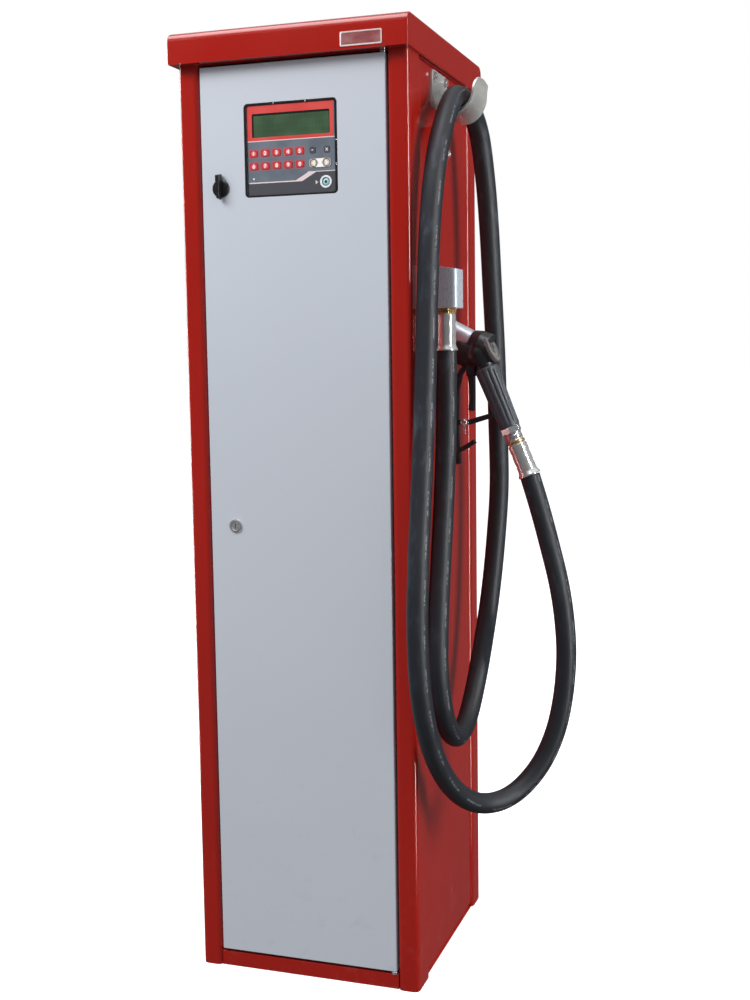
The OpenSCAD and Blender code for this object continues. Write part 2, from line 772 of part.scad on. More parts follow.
module nozzle_body() {
    p = trigger_pivot;
    color(black) {
        difference() {
            union() {
                translate(head) sphere(r = head_r);
                on_cap() cylinder(r = cap_disc_r - 2, h = cap_disc_at);
                on_handle() cylinder(r = core_r, h = grip_to);
                on_spout() cylinder(r = collar_r + 1, h = collar_from + 14);
                for (y = [-trigger_w/2 - fit - lug_t, trigger_w/2 + fit])
                    block(p[0] - 6, p[0] + 8, y, y + lug_t, p[2] - 6, p[2] + 26);
            }
            on_spout() translate([0, 0, collar_from]) cylinder(r = collar_r, h = 40);
            on_cap() translate([0, 0, cap_disc_at]) cylinder(r = cap_disc_r, h = head_r);
            block(p[0] - 9, p[0] + 8.5, -trigger_w/2 - fit, trigger_w/2 + fit,
                  p[2] - 9, p[2] + 9);
        }
        rod_y(-trigger_w/2 - fit - lug_t, trigger_w/2 + fit + lug_t, p[0], p[2],
              trigger_pin_r - run);
    }
}

module nozzle_cap() {
    color([0.36, 0.37, 0.38]) on_cap() translate([0, 0, cap_disc_at]) rotate_extrude()
        polygon([[0, 0], [cap_disc_r, 0], [cap_disc_r, cap_disc_t - 2],
                 [cap_disc_r - 3, cap_disc_t], [0, cap_disc_t]]);
}

module nozzle_grip() {
    color(black) on_handle() translate([0, 0, grip_from]) difference() {
        rotate_extrude() polygon([[0, 0], [grip_r - 1.5, 0], [grip_r, 6],
            [grip_r, grip_len - 8], [grip_r - 1.5, grip_len], [0, grip_len]]);
        translate([0, 0, -1]) cylinder(r = core_r, h = grip_len + 2);
    }
}

module nozzle_spout() {
    color(alloy) on_spout() difference() {
        union() {
            translate([0, 0, collar_from]) cylinder(r = collar_r, h = collar_to - collar_from);
            translate([0, 0, collar_to - eps]) cylinder(r = spout_r, h = spout_to - collar_to);
        }
        translate([0, 0, collar_from + 4]) cylinder(r = spout_r - 2, h = spout_to);
    }
}

module nozzle_trigger() {
    p = trigger_pivot;
    color(black) difference() {
        union() {
            upright(-trigger_w/2, trigger_w/2)
                polygon([[p[0] - 4, p[2]], [p[0] + 5, p[2]], [p[0] + 6, p[2] - 40],
                         [p[0] + 4, p[2] - 63], [p[0] - 3, p[2] - 61], [p[0] - 1, p[2] - 40]]);
            rod_y(-trigger_w/2, trigger_w/2, p[0], p[2], 6);
        }
        rod_y(-trigger_w/2 - 1, trigger_w/2 + 1, p[0], p[2], trigger_pin_r);
    }
}

module trigger_guard() {
    p = latch_pivot;
    grip_side = nozzle_point(grip_to - 22)[0] - grip_r/sin(handle_fall);
    loop = [[head[0] - 21, head[2] - 15], [head[0] - 33, head[2] - 33],
            [head[0] - 40, head[2] - 60], [head[0] - 41, head[2] - 104],
            [head[0] - 40, head[2] - 150], [head[0] - 37, head[2] - 180]];
    arm = [[head[0] - 41, p[2]], [p[0] + 8, p[2]], [p[0] + 24, p[2] + 5], [grip_side - 2, p[2] + 11]];
    hook = [[head[0] - 40, head[2] - 162], [head[0] - 28, head[2] - 155], [head[0] - 10, head[2] - 144]];
    color(black) {
        upright(-guard_w/2, guard_w/2) {
            polygon(strip(loop, guard_t));
            polygon(strip(arm, guard_t + 1));
            polygon(strip(hook, guard_t));
        }
        rod_y(-guard_w/2 - 5, -guard_w/2 + eps, p[0], p[2], trigger_pin_r - run);
    }
}

module trigger_latch() {
    p = latch_pivot;
    y0 = -guard_w/2 - fit - 4;
    color(chrome) difference() {
        union() {
            rod_y(y0, y0 + 4, p[0], p[2], latch_r);
            block(p[0] - 2.5, p[0] + 2.5, y0, y0 + 4, p[2] - 18, p[2]);
        }
        rod_y(y0 - 1, y0 + 5, p[0], p[2], trigger_pin_r);
    }
}

module nozzle_swivel() {
    color(brass) on_handle() translate([0, 0, grip_to]) {
        cylinder(r = 17, h = 10, $fn = 6);
        translate([0, 0, 10]) cylinder(r = 14, h = swivel_len - 14);
        translate([0, 0, swivel_len - 4]) cylinder(r = 15, h = 4);
    }
}

module nozzle_ferrule() {
    color(chrome) on_handle() translate([0, 0, swivel_to]) ferrule(nozzle_ferrule_len);
}

// Boot in the side panel that the spout stands in.
module nozzle_boot() {
    color(black) difference() {
        union() {
            intersection() {
                on_spout() cylinder(r = boot_r, h = boot_to);
                block(-cab_w, panel_x + hook_t, -cab_d, cab_d, 0, cab_h);
            }
            translate([panel_x, 0, 0]) rotate([90, 0, 90]) linear_extrude(hook_t)
                polygon(round_rect(-32, boot_z - boot_plate_half, 32, boot_z + boot_plate_half, 10));
        }
        on_spout() translate([0, 0, 1]) cylinder(r = collar_r + fit, h = collar_to + 4);
        on_spout() translate([0, 0, collar_to]) cylinder(r = collar_r + fit + 2, h = boot_to);
    }
}

// ---- pump set ----

// Shelf and upright plate, bent from one sheet, that carry the pump set.
module equipment_frame() {
    half = panel_x - sheet;
    color([0.55, 0.57, 0.60]) difference() {
        union() {
            block(-half, half, panel_y0 + 2, shelf_y1, shelf_z, shelf_z + plate_t);
            block(-half, half, plate_y, plate_y + plate_t, shelf_z, plate_top);
        }
        rod_z(shelf_z - 1, shelf_z + plate_t + 1, port_x, 0, pipe_r);
    }
}

module motor() {
    foot_w = 24;
    color([0.25, 0.33, 0.45]) difference() {
        union() {
            rod_x(motor_x0, pump_x0, 0, motor_z, motor_r);
            rod_x(motor_x0 - cowl_len, motor_x0, 0, motor_z, motor_r + 2);
            for (x = [motor_x0 + 12, pump_x0 - 12 - foot_w])
                block(x, x + foot_w, -motor_r + 8, motor_r - 8, shelf_z + plate_t, motor_z);
            block(motor_x0 + 40, motor_x0 + 100, -30, 30, motor_z, motor_z + motor_r + 26);
        }
        rod_x(motor_x0 - cowl_len - 1, pump_x0 + 1, 0, motor_z, shaft_r + run);
        rod_x(motor_x0 - cowl_len + 2, motor_x0, 0, motor_z, motor_r);
        for (a = [0:30:330])
            translate([motor_x0 - cowl_len - 1, 0, motor_z]) rotate([a, 0, 0])
                block(0, 4, -4, 4, 22, 54);
    }
}

module pump_shaft() {
    fan_x = motor_x0 - cowl_len + 12;
    color([0.72, 0.74, 0.76]) {
        rod_x(fan_x - 4, chamber_x0 + chamber_len + 8, 0, motor_z, shaft_r);
        rod_x(fan_x, fan_x + 20, 0, motor_z, shaft_r + 8);
        for (a = [0:60:300]) translate([fan_x, 0, motor_z]) rotate([a, 0, 0])
            block(1, 18, -1.5, 1.5, shaft_r + 6, motor_r - 8);
        rod_x(chamber_x0 + 0.5, chamber_x0 + chamber_len - 0.5, 0, motor_z, rotor_r);
    }
}

module pump_body() {
    y = pump_half;
    x1 = pump_x0 + pump_len;
    color([0.45, 0.47, 0.50]) difference() {
        union() {
            block(pump_x0, x1, -y, y, motor_z - y, motor_z + y);
            block(pump_x0 + 10, x1 - 10, -y + 10, y - 10, shelf_z + plate_t, motor_z);
        }
        rod_x(pump_x0 - 1, chamber_x0 + 1, 0, motor_z, shaft_r + run);
        rod_x(chamber_x0, chamber_x0 + chamber_len, 0, motor_z, chamber_r);
        rod_x(chamber_x0, chamber_x0 + chamber_len + 8.5, 0, motor_z, shaft_r + run);
        rod_z(shelf_z, motor_z + y + 1, port_x, 0, pipe_bore);
    }
}

module filter_canister() {
    z1 = filter_z0 + filter_len;
    color([0.85, 0.86, 0.88]) {
        rod_z(filter_z0, filter_z0 + 12, port_x, riser_y, filter_r*0.6);
        rod_z(filter_z0 + 12, z1 - 34, port_x, riser_y, filter_r);
        rod_z(z1 - 34, z1 - 22, port_x, riser_y, filter_r - 5);
        block(port_x - filter_r, port_x + filter_r, riser_y - filter_r, riser_y + filter_r,
              z1 - 22, z1);
    }
}

module flow_meter() {
    z1 = meter_z0 + meter_h;
    color([0.60, 0.62, 0.65]) difference() {
        block(port_x - meter_w/2, port_x + meter_w/2, riser_y - meter_d/2,
              riser_y + meter_d/2, meter_z0, z1);
        rod_y(riser_y - 22, riser_y + 22, port_x, meter_z0 + meter_h/2, meter_rotor_r + 2);
        rod_y(riser_y - 30, riser_y + 30, port_x, meter_z0 + meter_h/2, 4 + run);
        rod_z(meter_z0 - 1, z1 + 1, port_x, riser_y, pipe_bore);
    }
}

module meter_rotor() {
    z = meter_z0 + meter_h/2;
    color([0.90, 0.90, 0.86]) {
        rod_y(riser_y - 29, riser_y + 29, port_x, z, 4);
        rod_y(riser_y - 20, riser_y + 20, port_x, z, 10);
        for (a = [0:45:315]) translate([port_x, riser_y, z]) rotate([0, a, 0])
            block(-1.5, 1.5, -20, 20, 8, meter_rotor_r);
    }
}

// A straight pipe, cut through by its bore.
module riser(z0, z1, y) {
    difference() {
        rod_z(z0, z1, port_x, y, pipe_r);
        rod_z(z0 - 1, z1 + 1, port_x, y, pipe_bore);
    }
}

module pipework() {
    top = motor_z + pump_half;
    bend_z = top + 40;
    e = pipe_elbow/2;
    color(brass) {
        // suction pipe with its threaded coupling
        difference() {
            union() {
                rod_z(coupling_z + coupling_len, shelf_z + plate_t, port_x, 0, pipe_r);
                rod_z(coupling_z, coupling_z + coupling_len, port_x, 0, coupling_r);
            }
            rod_z(coupling_z, shelf_z + plate_t + 1, port_x, 0, pipe_bore);
            rod_z(coupling_z - 1, coupling_z + inlet_len, port_x, 0, inlet_r);
        }
        // pump to filter
        riser(top, bend_z - e, 0);
        translate([port_x, 0, bend_z]) cube(pipe_elbow, center = true);
        rod_y(riser_y + e, -e, port_x, bend_z, pipe_r);
        translate([port_x, riser_y, bend_z]) cube(pipe_elbow, center = true);
        riser(bend_z + e, filter_z0, riser_y);
        // filter to meter, and meter to outlet
        riser(filter_z0 + filter_len, meter_z0, riser_y);
        riser(meter_z0 + meter_h, outlet_z - e, riser_y);
        translate([port_x, riser_y, outlet_z]) cube(pipe_elbow, center = true);
        rod_x(port_x + e, panel_x - 12, riser_y, outlet_z, pipe_r);
    }
}

base_plate();
front_left_post();
front_right_post();
rear_left_post();
rear_right_post();
front_sill();
front_header();
left_panel();
right_panel();
rear_panel();
roof_cap();
door();
hinge_pins();
wing_knob();
door_lock();
lock_plug();
display_frame();
keypad_plate();
lcd_module();
control_board();
control_box();
for (i = [0:9]) digit_key(i);
key_minus();
key_cancel();
arrow_rocker();
fob_reader();
hose_hook();
side_bolts();
outlet_hood();
outlet_elbow();
outlet_ferrule();
delivery_hose();
nozzle_hose();
nozzle_body();
nozzle_cap();
nozzle_grip();
nozzle_spout();
nozzle_trigger();
trigger_guard();
trigger_latch();
nozzle_swivel();
nozzle_ferrule();
nozzle_boot();
equipment_frame();
motor();
pump_shaft();
pump_body();
filter_canister();
flow_meter();
meter_rotor();
pipework();
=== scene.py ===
"""Looks of a free-standing fuel dispenser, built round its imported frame.

Lengths are metres. X runs to the right, Y to the back and Z up, with the origin on the
floor under the middle of the cabinet. Each piece sits at the origin, its place in its mesh.
"""

import math

import bmesh
import bpy
from mathutils import Matrix, Vector


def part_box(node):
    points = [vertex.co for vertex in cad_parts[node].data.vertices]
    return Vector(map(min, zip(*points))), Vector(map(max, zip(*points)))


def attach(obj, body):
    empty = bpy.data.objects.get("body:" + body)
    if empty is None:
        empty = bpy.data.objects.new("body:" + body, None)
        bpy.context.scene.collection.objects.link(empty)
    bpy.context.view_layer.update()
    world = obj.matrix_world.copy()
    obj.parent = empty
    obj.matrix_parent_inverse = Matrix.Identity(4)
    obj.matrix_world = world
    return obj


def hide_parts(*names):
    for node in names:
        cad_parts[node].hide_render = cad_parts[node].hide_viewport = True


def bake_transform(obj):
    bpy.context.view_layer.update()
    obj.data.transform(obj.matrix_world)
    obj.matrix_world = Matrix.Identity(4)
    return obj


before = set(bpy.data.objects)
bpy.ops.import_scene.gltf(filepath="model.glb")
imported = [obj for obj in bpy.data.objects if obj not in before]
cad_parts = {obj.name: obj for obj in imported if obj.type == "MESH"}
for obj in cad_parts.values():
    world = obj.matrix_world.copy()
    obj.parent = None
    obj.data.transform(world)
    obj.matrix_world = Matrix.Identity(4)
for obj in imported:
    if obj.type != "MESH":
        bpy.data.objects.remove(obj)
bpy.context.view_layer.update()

bl_info = {
    "name": "Fuel Dispenser",
    "version": (1, 0, 0),
    "blender": (4, 5, 0),
    "location": "View3D > Sidebar > Dispenser",
    "description": "Builds the finished pieces and the stage of a fuel dispenser",
    "category": "Object",
}

MM = 0.001

# The hose's centre line, from the outlet ferrule over the hook and round to the nozzle.
HOSE_ROUTE = [
    (216, -108, 1010), (216, -108, 960), (215, -108, 880), (213, -115, 785),
    (212, -132, 690), (212, -150, 600), (214, -162, 520), (217, -150, 452),
    (220, -118, 405), (221, -68, 385), (222, -14, 400), (226, 30, 452), (232, 62, 522),
    (239, 84, 602), (245, 98, 690), (249, 106, 780), (248, 104, 880), (246, 97, 1000),
    (242, 92, 1110), (238, 88, 1210), (234, 79, 1290), (229, 60, 1360), (224, 22, 1398),
    (221, -4, 1406), (219, -28, 1408), (219, -53, 1404), (219, -78, 1392),
    (219, -118, 1356), (217, -148, 1310), (214, -168, 1250), (211, -180, 1170),
    (209, -187, 1070), (208, -195, 970), (207, -207, 870), (206, -222, 770),
    (206, -238, 680), (206, -245, 590), (208, -240, 505), (212, -222, 437),
    (219, -193, 379), (231, -158, 331), (248, -122, 298), (270, -86, 281),
    (296, -56, 282), (322, -31, 300), (348, -13, 336), (368, -3, 386), (380, 0, 445),
    (385, 0, 510), (382, 0, 570), (373, 0, 630), (358, 0, 692), (341, 0, 755),
    (325.08, 0, 806.83),
]
HOSE_JOINT = 42          # the route's point where the two lengths of hose meet

# The nozzle's axes: the handle and the cap leave the head, the spout leaves its root.
HEAD = Vector((243, 0, 1005)) * MM
SPOUT_ROOT = Vector((246, 0, 1018)) * MM
TRIGGER_PIVOT = Vector((228, 0, 974)) * MM
LATCH_PIVOT = Vector((218, 0, 893)) * MM
KNOB_CENTRE = Vector((-119, -196.5, 1264.5)) * MM
LOCK_CENTRE = Vector((-108.5, -196.5, 737.5)) * MM
HANDLE_WAY = Vector((0.38268, 0, -0.92388))
SPOUT_WAY = Vector((-0.89101, 0, 0.45399))
CAP_WAY = Vector((0.90996, 0, 0.41469))


# ---- sizes and colours that a user would change ----

def length(name, description, value):
    return bpy.props.FloatProperty(name=name, description=description, default=value,
                                   unit="LENGTH", subtype="DISTANCE", precision=4)


def colour(name, description, value):
    return bpy.props.FloatVectorProperty(name=name, description=description, default=value,
                                         subtype="COLOR", size=3, min=0.0, max=1.0)


class DispenserColours(bpy.types.PropertyGroup):
    """Main colours of the finishes, in linear light."""
    paint: colour("Cabinet paint", "Gloss paint of the cabinet", (0.335, 0.0095, 0.0050))
    door: colour("Door paint", "Powder coat of the door", (0.50, 0.535, 0.59))
    rubber: colour("Hose rubber", "Cover of the delivery hose", (0.015, 0.018, 0.024))
    mouldings: colour("Black mouldings", "Knob, display frame and boot", (0.012, 0.012, 0.014))
    keypad_red: colour("Keypad red", "Field round the display", (0.60, 0.055, 0.050))
    keypad_grey: colour("Keypad grey", "Field round the keys", (0.115, 0.135, 0.165))
    keypad_line: colour("Keypad lines", "Lines across the keypad", (0.72, 0.60, 0.60))
    display: colour("Display", "Unlit display glass", (0.045, 0.085, 0.045))
    key: colour("Keys", "Digit keys", (0.55, 0.03, 0.045))
    motor: colour("Motor", "Enamel of the electric motor", (0.05, 0.09, 0.18))


class DispenserSizes(bpy.types.PropertyGroup):
    """Sizes of the finished pieces."""
    fold: length("Sheet fold", "Rounding of the sheet metal's folded edges", 0.0012)
    door_fold: length("Door fold", "Rounding of the door's folded edges", 0.0016)
    post_corner: length("Post corner", "Rounding of the posts' corners", 0.009)
    sheet: length("Sheet", "Thickness of the posts' sheet", 0.002)
    hose_radius: length("Hose radius", "Outer radius of the delivery hose", 0.0165)
    hose_step: length("Hose step", "Distance between rings of the hose's mesh", 0.008)
    digit: length("Digit height", "Height of the digits on the keys", 0.0062)
    grip_radius: length("Grip radius", "Outer radius of the ribbed grip at its top", 0.0198)
    moulding: length("Moulding edge", "Rounding of the small mouldings' edges", 0.0006)


# ---- finishes ----

class Value:
    """A number socket that works in Python expressions; each operator adds its Math node."""

    def __init__(self, finish, socket):
        self.finish = finish
        self.socket = socket

    def maths(self, operation, *others):
        return self.finish.maths(operation, self, *others)

    def __add__(self, other):
        return self.maths("ADD", other)

    def __sub__(self, other):
        return self.maths("SUBTRACT", other)

    def __mul__(self, other):
        return self.maths("MULTIPLY", other)

    def __gt__(self, other):
        return self.maths("GREATER_THAN", other)

    def __lt__(self, other):
        return self.maths("LESS_THAN", other)

    def __rsub__(self, other):
        return self.finish.maths("SUBTRACT", other, self)

    def __abs__(self):
        return self.maths("ABSOLUTE")

    __radd__ = __add__
    __rmul__ = __mul__

    def between(self, low, high):
        """1 where the value lies between the two, otherwise 0."""
        return (self > low) * (self < high)

    def repeated(self, start, pitch):
        """Offset from the nearest of a row of places that lie a pitch apart."""
        return (self - start).maths("WRAP", pitch / 2, -pitch / 2)

    def spread(self, low, high, to_low=0.0, to_high=1.0):
        """The value with low to high stretched over another range, and clamped."""
        return Value(self.finish, self.finish.node(
            "ShaderNodeMapRange", {"interpolation_type": "SMOOTHSTEP"},
            {"Value": self, "From Min": low, "From Max": high,
             "To Min": to_low, "To Max": to_high}).outputs["Result"])


class Finish:
    """A material: a Principled shader and the nodes that feed it."""

    def __init__(self, name, base, roughness, metallic=0.0, slot=None, **constants):
        self.slot = slot or name
        self.material = bpy.data.materials.new(name)
        self.material.use_nodes = True
        self.tree = self.material.node_tree
        self.shader = self.tree.nodes["Principled BSDF"]
        self.base = base
        self.normal = None
        self.cover("Base Color", base)
        self.cover("Roughness", roughness)
        self.cover("Metallic", metallic)
        for key, value in constants.items():
            self.cover(key.replace("_", " "), value)

    def feed(self, socket, value):
        if isinstance(value, Value):
            value = value.socket
        if isinstance(value, bpy.types.NodeSocket):
            self.tree.links.new(value, socket)
        elif socket.type == "RGBA" and len(value) == 3:
            socket.default_value = (*value, 1.0)
        else:
            socket.default_value = value

    def node(self, kind, settings=None, sockets=None):
        """A node of a type, with its settings made first and then its sockets fed."""
        made = self.tree.nodes.new(kind)
        for key, value in (settings or {}).items():
            setattr(made, key, value)
        for key, value in (sockets or {}).items():
            self.feed(made.inputs[key], value)
        return made

    def cover(self, socket, value):
        self.feed(self.shader.inputs[socket], value)

    def maths(self, operation, *values):
        made = self.node("ShaderNodeMath", {"operation": operation}, dict(enumerate(values)))
        return Value(self, made.outputs[0])

    def place(self):
        return self.node("ShaderNodeTexCoord").outputs["Object"]

    def straight(self):
        """The place on a hose as if it were laid out straight, with its length along Z."""
        return self.node("ShaderNodeAttribute", {"attribute_name": "straight"}).outputs["Vector"]

    def axes(self, at=None):
        split = self.node("ShaderNodeSeparateXYZ", None, {"Vector": at or self.place()})
        return [Value(self, socket) for socket in split.outputs]

    def stretched(self, scale, at=None, turn=(0, 0, 0)):
        return self.node("ShaderNodeMapping", None, {
            "Vector": at or self.place(), "Scale": scale, "Rotation": turn}).outputs["Vector"]

    def noise(self, scale, detail=2.0, rough=0.5, at=None):
        made = self.node("ShaderNodeTexNoise", None, {
            "Vector": at or self.place(), "Scale": scale, "Detail": detail, "Roughness": rough})
        return Value(self, made.outputs["Fac"])

    def cells(self, scale, output="Distance", at=None):
        made = self.node("ShaderNodeTexVoronoi", None,
                         {"Vector": at or self.place(), "Scale": scale})
        return Value(self, made.outputs[output])

    def mixed(self, factor, first, second):
        """Second colour over the first, as far as the factor says."""
        made = self.node("ShaderNodeMix", {"data_type": "RGBA"}, {0: factor, 6: first, 7: second})
        return made.outputs[2]

    def reach(self, across, up):
        """Distance from where both offsets are zero."""
        return self.maths("SQRT", across * across + up * up)

    def relief(self, height, depth):
        sockets = {"Height": height, "Distance": depth, "Strength": 1.0}
        if self.normal is not None:
            sockets["Normal"] = self.normal
        self.normal = self.node("ShaderNodeBump", None, sockets).outputs["Normal"]
        self.cover("Normal", self.normal)

    def clouded(self, scale, amount, tone=None):
        """The base colour, drifting a little from place to place."""
        drift = self.noise(scale, 3.0).spread(0.3, 0.7)
        low = tuple(c * (1 - amount) for c in self.base)
        high = tone or tuple(min(1.0, c * (1 + amount)) for c in self.base)
        return self.mixed(drift, low, high)


def middle(node):
    """The middle of a CAD node's box."""
    low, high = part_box(node)
    return (low + high) / 2


def key_grid():
    """The middle of the first key, and the keys' pitches across and down."""
    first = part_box("key_1")[0]
    return middle("key_1"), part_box("key_2")[0].x - first.x, first.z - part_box("key_6")[0].z


def red_paint(tones):
    f = Finish("red_paint", tuple(tones.paint), 0.22, Coat_Weight=0.35, Coat_Roughness=0.06)
    height = f.axes()[2]
    dust = f.noise(26.0, 5.0, 0.65).spread(0.50, 0.85) * height.spread(0.0, 0.3, 0.26, 0.02)
    f.cover("Base Color", f.mixed(dust, f.clouded(2.5, 0.05), (0.36, 0.14, 0.10)))
    smears = f.noise(9.0, 4.0, at=f.stretched((1, 1, 0.25)))
    f.cover("Roughness", smears.spread(0.3, 0.8, 0.14, 0.24) + dust * 0.35)
    f.relief(f.noise(300.0, 1.0), 0.000005)
    f.relief(f.noise(9.0, 1.0), 0.0005)
    return f


def door_paint(tones):
    f = Finish("door_paint", tuple(tones.door), 0.42, Coat_Weight=0.12, Coat_Roughness=0.25)
    height = f.axes()[2]
    marks = f.noise(34.0, 5.0, 0.7).spread(0.55, 0.85)
    # Patches that make the door darker towards its bottom.
    low_dark_patches = marks * height.spread(0.0, 0.45, 0.30, 0.05)
    speck = f.noise(2600.0, 1.0).spread(0.35, 0.65, -0.5, 0.5)
    toned = f.mixed(speck * 0.10 + 0.05, f.clouded(1.6, 0.025), (0.72, 0.74, 0.78))
    f.cover("Base Color", f.mixed(low_dark_patches, toned, (0.30, 0.31, 0.33)))
    f.cover("Roughness", f.noise(60.0, 3.0).spread(0.2, 0.8, 0.36, 0.48))
    f.relief(f.noise(1500.0, 2.0), 0.00004)
    return f


def metal(name, base, roughness, brush=(1, 1, 1), grain=900.0, slot=None, bare=0.8):
    """Metal with fine brush marks and smudges of handling; bare is its share of mirror."""
    f = Finish(name, base, roughness, bare, slot=slot)
    marks = f.noise(grain, 3.0, 0.6, at=f.stretched(brush))
    smudge = f.noise(55.0, 4.0, 0.6).spread(0.45, 0.8)
    f.cover("Base Color", f.mixed(smudge * 0.35, base, tuple(c * 0.72 for c in base)))
    f.cover("Roughness", marks * (roughness * 0.7) + smudge * 0.12 + roughness * 0.6)
    f.relief(marks, 0.00001)
    return f


def bright_steel(tones):
    return metal("bright_steel", (0.80, 0.81, 0.82), 0.18)


def chrome_ferrule(tones):
    return metal("chrome_ferrule", (0.88, 0.90, 0.88), 0.15, (1, 1, 0.15), 700.0, bare=0.72)


def alloy(tones):
    return metal("alloy", (0.66, 0.69, 0.77), 0.34, (0.2, 1, 1), 1200.0, bare=0.5)


def hood_steel(tones):
    """Blue-grey coated sheet of the outlet's hood."""
    return metal("hood_steel", (0.57, 0.63, 0.70), 0.30, (1, 1, 0.2), 500.0, "zinc_sheet", 0.3)


def badge_rim(tones):
    return metal("badge_rim", (0.86, 0.76, 0.76), 0.28, slot="bright_steel", bare=0.3)


def brass_fitting(tones):
    f = metal("brass_fitting", (0.76, 0.53, 0.22), 0.22)
    tarnish = f.noise(90.0, 5.0, 0.65).spread(0.5, 0.75)
    f.cover("Base Color", f.mixed(tarnish * 0.6, (0.76, 0.53, 0.22), (0.34, 0.20, 0.09)))
    return f


def zinc_sheet(tones):
    """Galvanised sheet with its crystals faintly showing."""
    f = Finish("zinc_sheet", (0.50, 0.52, 0.53), 0.34, 1.0)
    crystal = f.cells(130.0, "Color", at=f.stretched((1, 1, 0.8)))
    fine = f.noise(900.0, 3.0)
    f.cover("Base Color", f.mixed(crystal, (0.40, 0.42, 0.43), (0.60, 0.62, 0.62)))
    f.cover("Roughness", crystal * 0.14 + fine * 0.08 + 0.22)
    f.relief(fine, 0.00002)
    return f


def hook_steel(tones):
    """Dull stainless of the hose hook, rubbed brighter where the hose slides."""
    f = Finish("hook_steel", (0.66, 0.67, 0.64), 0.33, 0.5, slot="zinc_sheet")
    rub = f.noise(70.0, 4.0, at=f.stretched((1, 0.2, 1))).spread(0.4, 0.7)
    f.cover("Base Color", f.mixed(rub, (0.56, 0.57, 0.54), (0.74, 0.74, 0.72)))
    f.cover("Roughness", rub.spread(0.0, 1.0, 0.40, 0.24))
    f.relief(f.noise(700.0, 2.0, at=f.stretched((1, 0.1, 1))), 0.000015)
    return f


def hose_rubber(tones):
    """Rubber with a faint cloth print, a broken line of plain marks, and chalky patches that carry a
    painted bluish sheen, stronger higher up.
    """
    f = Finish("hose_rubber", tuple(tones.rubber), 0.46)
    at = f.straight()
    across, beside, along = f.axes(at)
    turn = f.maths("ARCTAN2", beside, across)
    threads = 2600.0
    cloth = (f.maths("SINE", along * threads + turn * 3.0)
             * f.maths("SINE", along * threads - turn * 3.0))
    # Painted sheen: the chalky patches grow lighter and bluer the higher they sit, a sheen painted
    # into the colour on top of real chalky bloom.
    sheen_by_height = f.axes()[2].spread(0.35, 1.15, 0.25, 1.35)
    chalk_and_sheen = f.noise(60.0, 5.0, 0.7, at=f.stretched((1, 1, 0.35), at)).spread(0.50, 0.80) * sheen_by_height
    scuff = f.noise(300.0, 3.0, 0.6, at=f.stretched((1, 1, 0.12), at)).spread(0.60, 0.78)
    dash = f.maths("SINE", along * 95.0) > -0.2
    stripe = (abs(turn - 0.55) < 0.085) * dash * (f.noise(240.0, 1.0, at=at) > 0.46)
    toned = f.mixed(chalk_and_sheen * 0.34 + scuff * 0.10, tuple(tones.rubber), (0.100, 0.125, 0.175))
    f.cover("Base Color", f.mixed(stripe * 0.36, toned, (0.33, 0.35, 0.36)))
    f.cover("Roughness", chalk_and_sheen * 0.14 + scuff * 0.10 + 0.50)
    f.relief(cloth, 0.00003)
    f.relief(f.noise(500.0, 3.0, at=at), 0.00006)
    return f


def moulded(name, base, roughness=0.42, grain=1600.0, depth=0.00003, slot=None, **constants):
    """Moulded plastic with a fine spark-eroded grain and scuffs."""
    f = Finish(name, base, roughness, slot=slot, **constants)
    scuff = f.noise(140.0, 5.0, 0.7).spread(0.56, 0.80)
    pale = tuple(0.12 + 0.7 * c for c in base)
    f.cover("Base Color", f.mixed(scuff * 0.25, f.clouded(30.0, 0.08), pale))
    f.cover("Roughness", scuff * 0.15 + f.noise(45.0, 3.0).spread(0.2, 0.8, -0.05, 0.05) + roughness)
    f.relief(f.noise(grain, 2.0), depth)
    return f


def black_plastic(tones):
    return moulded("black_plastic", tuple(tones.mouldings), 0.36)


def nozzle_black(tones):
    return moulded("nozzle_black", (0.018, 0.019, 0.023), 0.34, Coat_Weight=0.15,
                   Coat_Roughness=0.2)


def grip_black(tones):
    """Softer moulding of the grip, made lighter and bluer than the head as a painted sheen."""
    # Painted sheen: the base colour is lighter and bluer than the head's black.
    return moulded("grip_black", (0.072, 0.080, 0.096), 0.38, 900.0, 0.00005, "nozzle_black")


def nozzle_cap_grey(tones):
    f = Finish("nozzle_cap_grey", (0.10, 0.092, 0.090), 0.55)
    gravel = f.cells(420.0)
    f.cover("Base Color", f.mixed(gravel, (0.085, 0.076, 0.076), (0.24, 0.22, 0.215)))
    f.relief(gravel, 0.0003)
    return f


def key_red(tones):
    """Red key caps with a painted pale highlight at the middle of each."""
    f = Finish("key_red", tuple(tones.key), 0.32, Coat_Weight=0.25, Coat_Roughness=0.15)
    x, _, z = f.axes()
    start, pitch_x, pitch_z = key_grid()
    away = f.reach(x.repeated(start.x, pitch_x), z.repeated(start.z, pitch_z))
    # Painted highlight: a pale pink spot at the middle of each key.
    centre_highlight = away.spread(0.0015, 0.0046, 1.0, 0.0)
    f.cover("Base Color", f.mixed(centre_highlight * 0.75, tuple(tones.key), (0.90, 0.40, 0.36)))
    f.relief(f.noise(1500.0, 2.0), 0.00002)
    return f


def key_print(tones):
    return moulded("key_print", (0.88, 0.80, 0.78), 0.4, slot="key_cream")


def key_grey(tones):
    return moulded("key_grey", (0.075, 0.080, 0.095), 0.36)


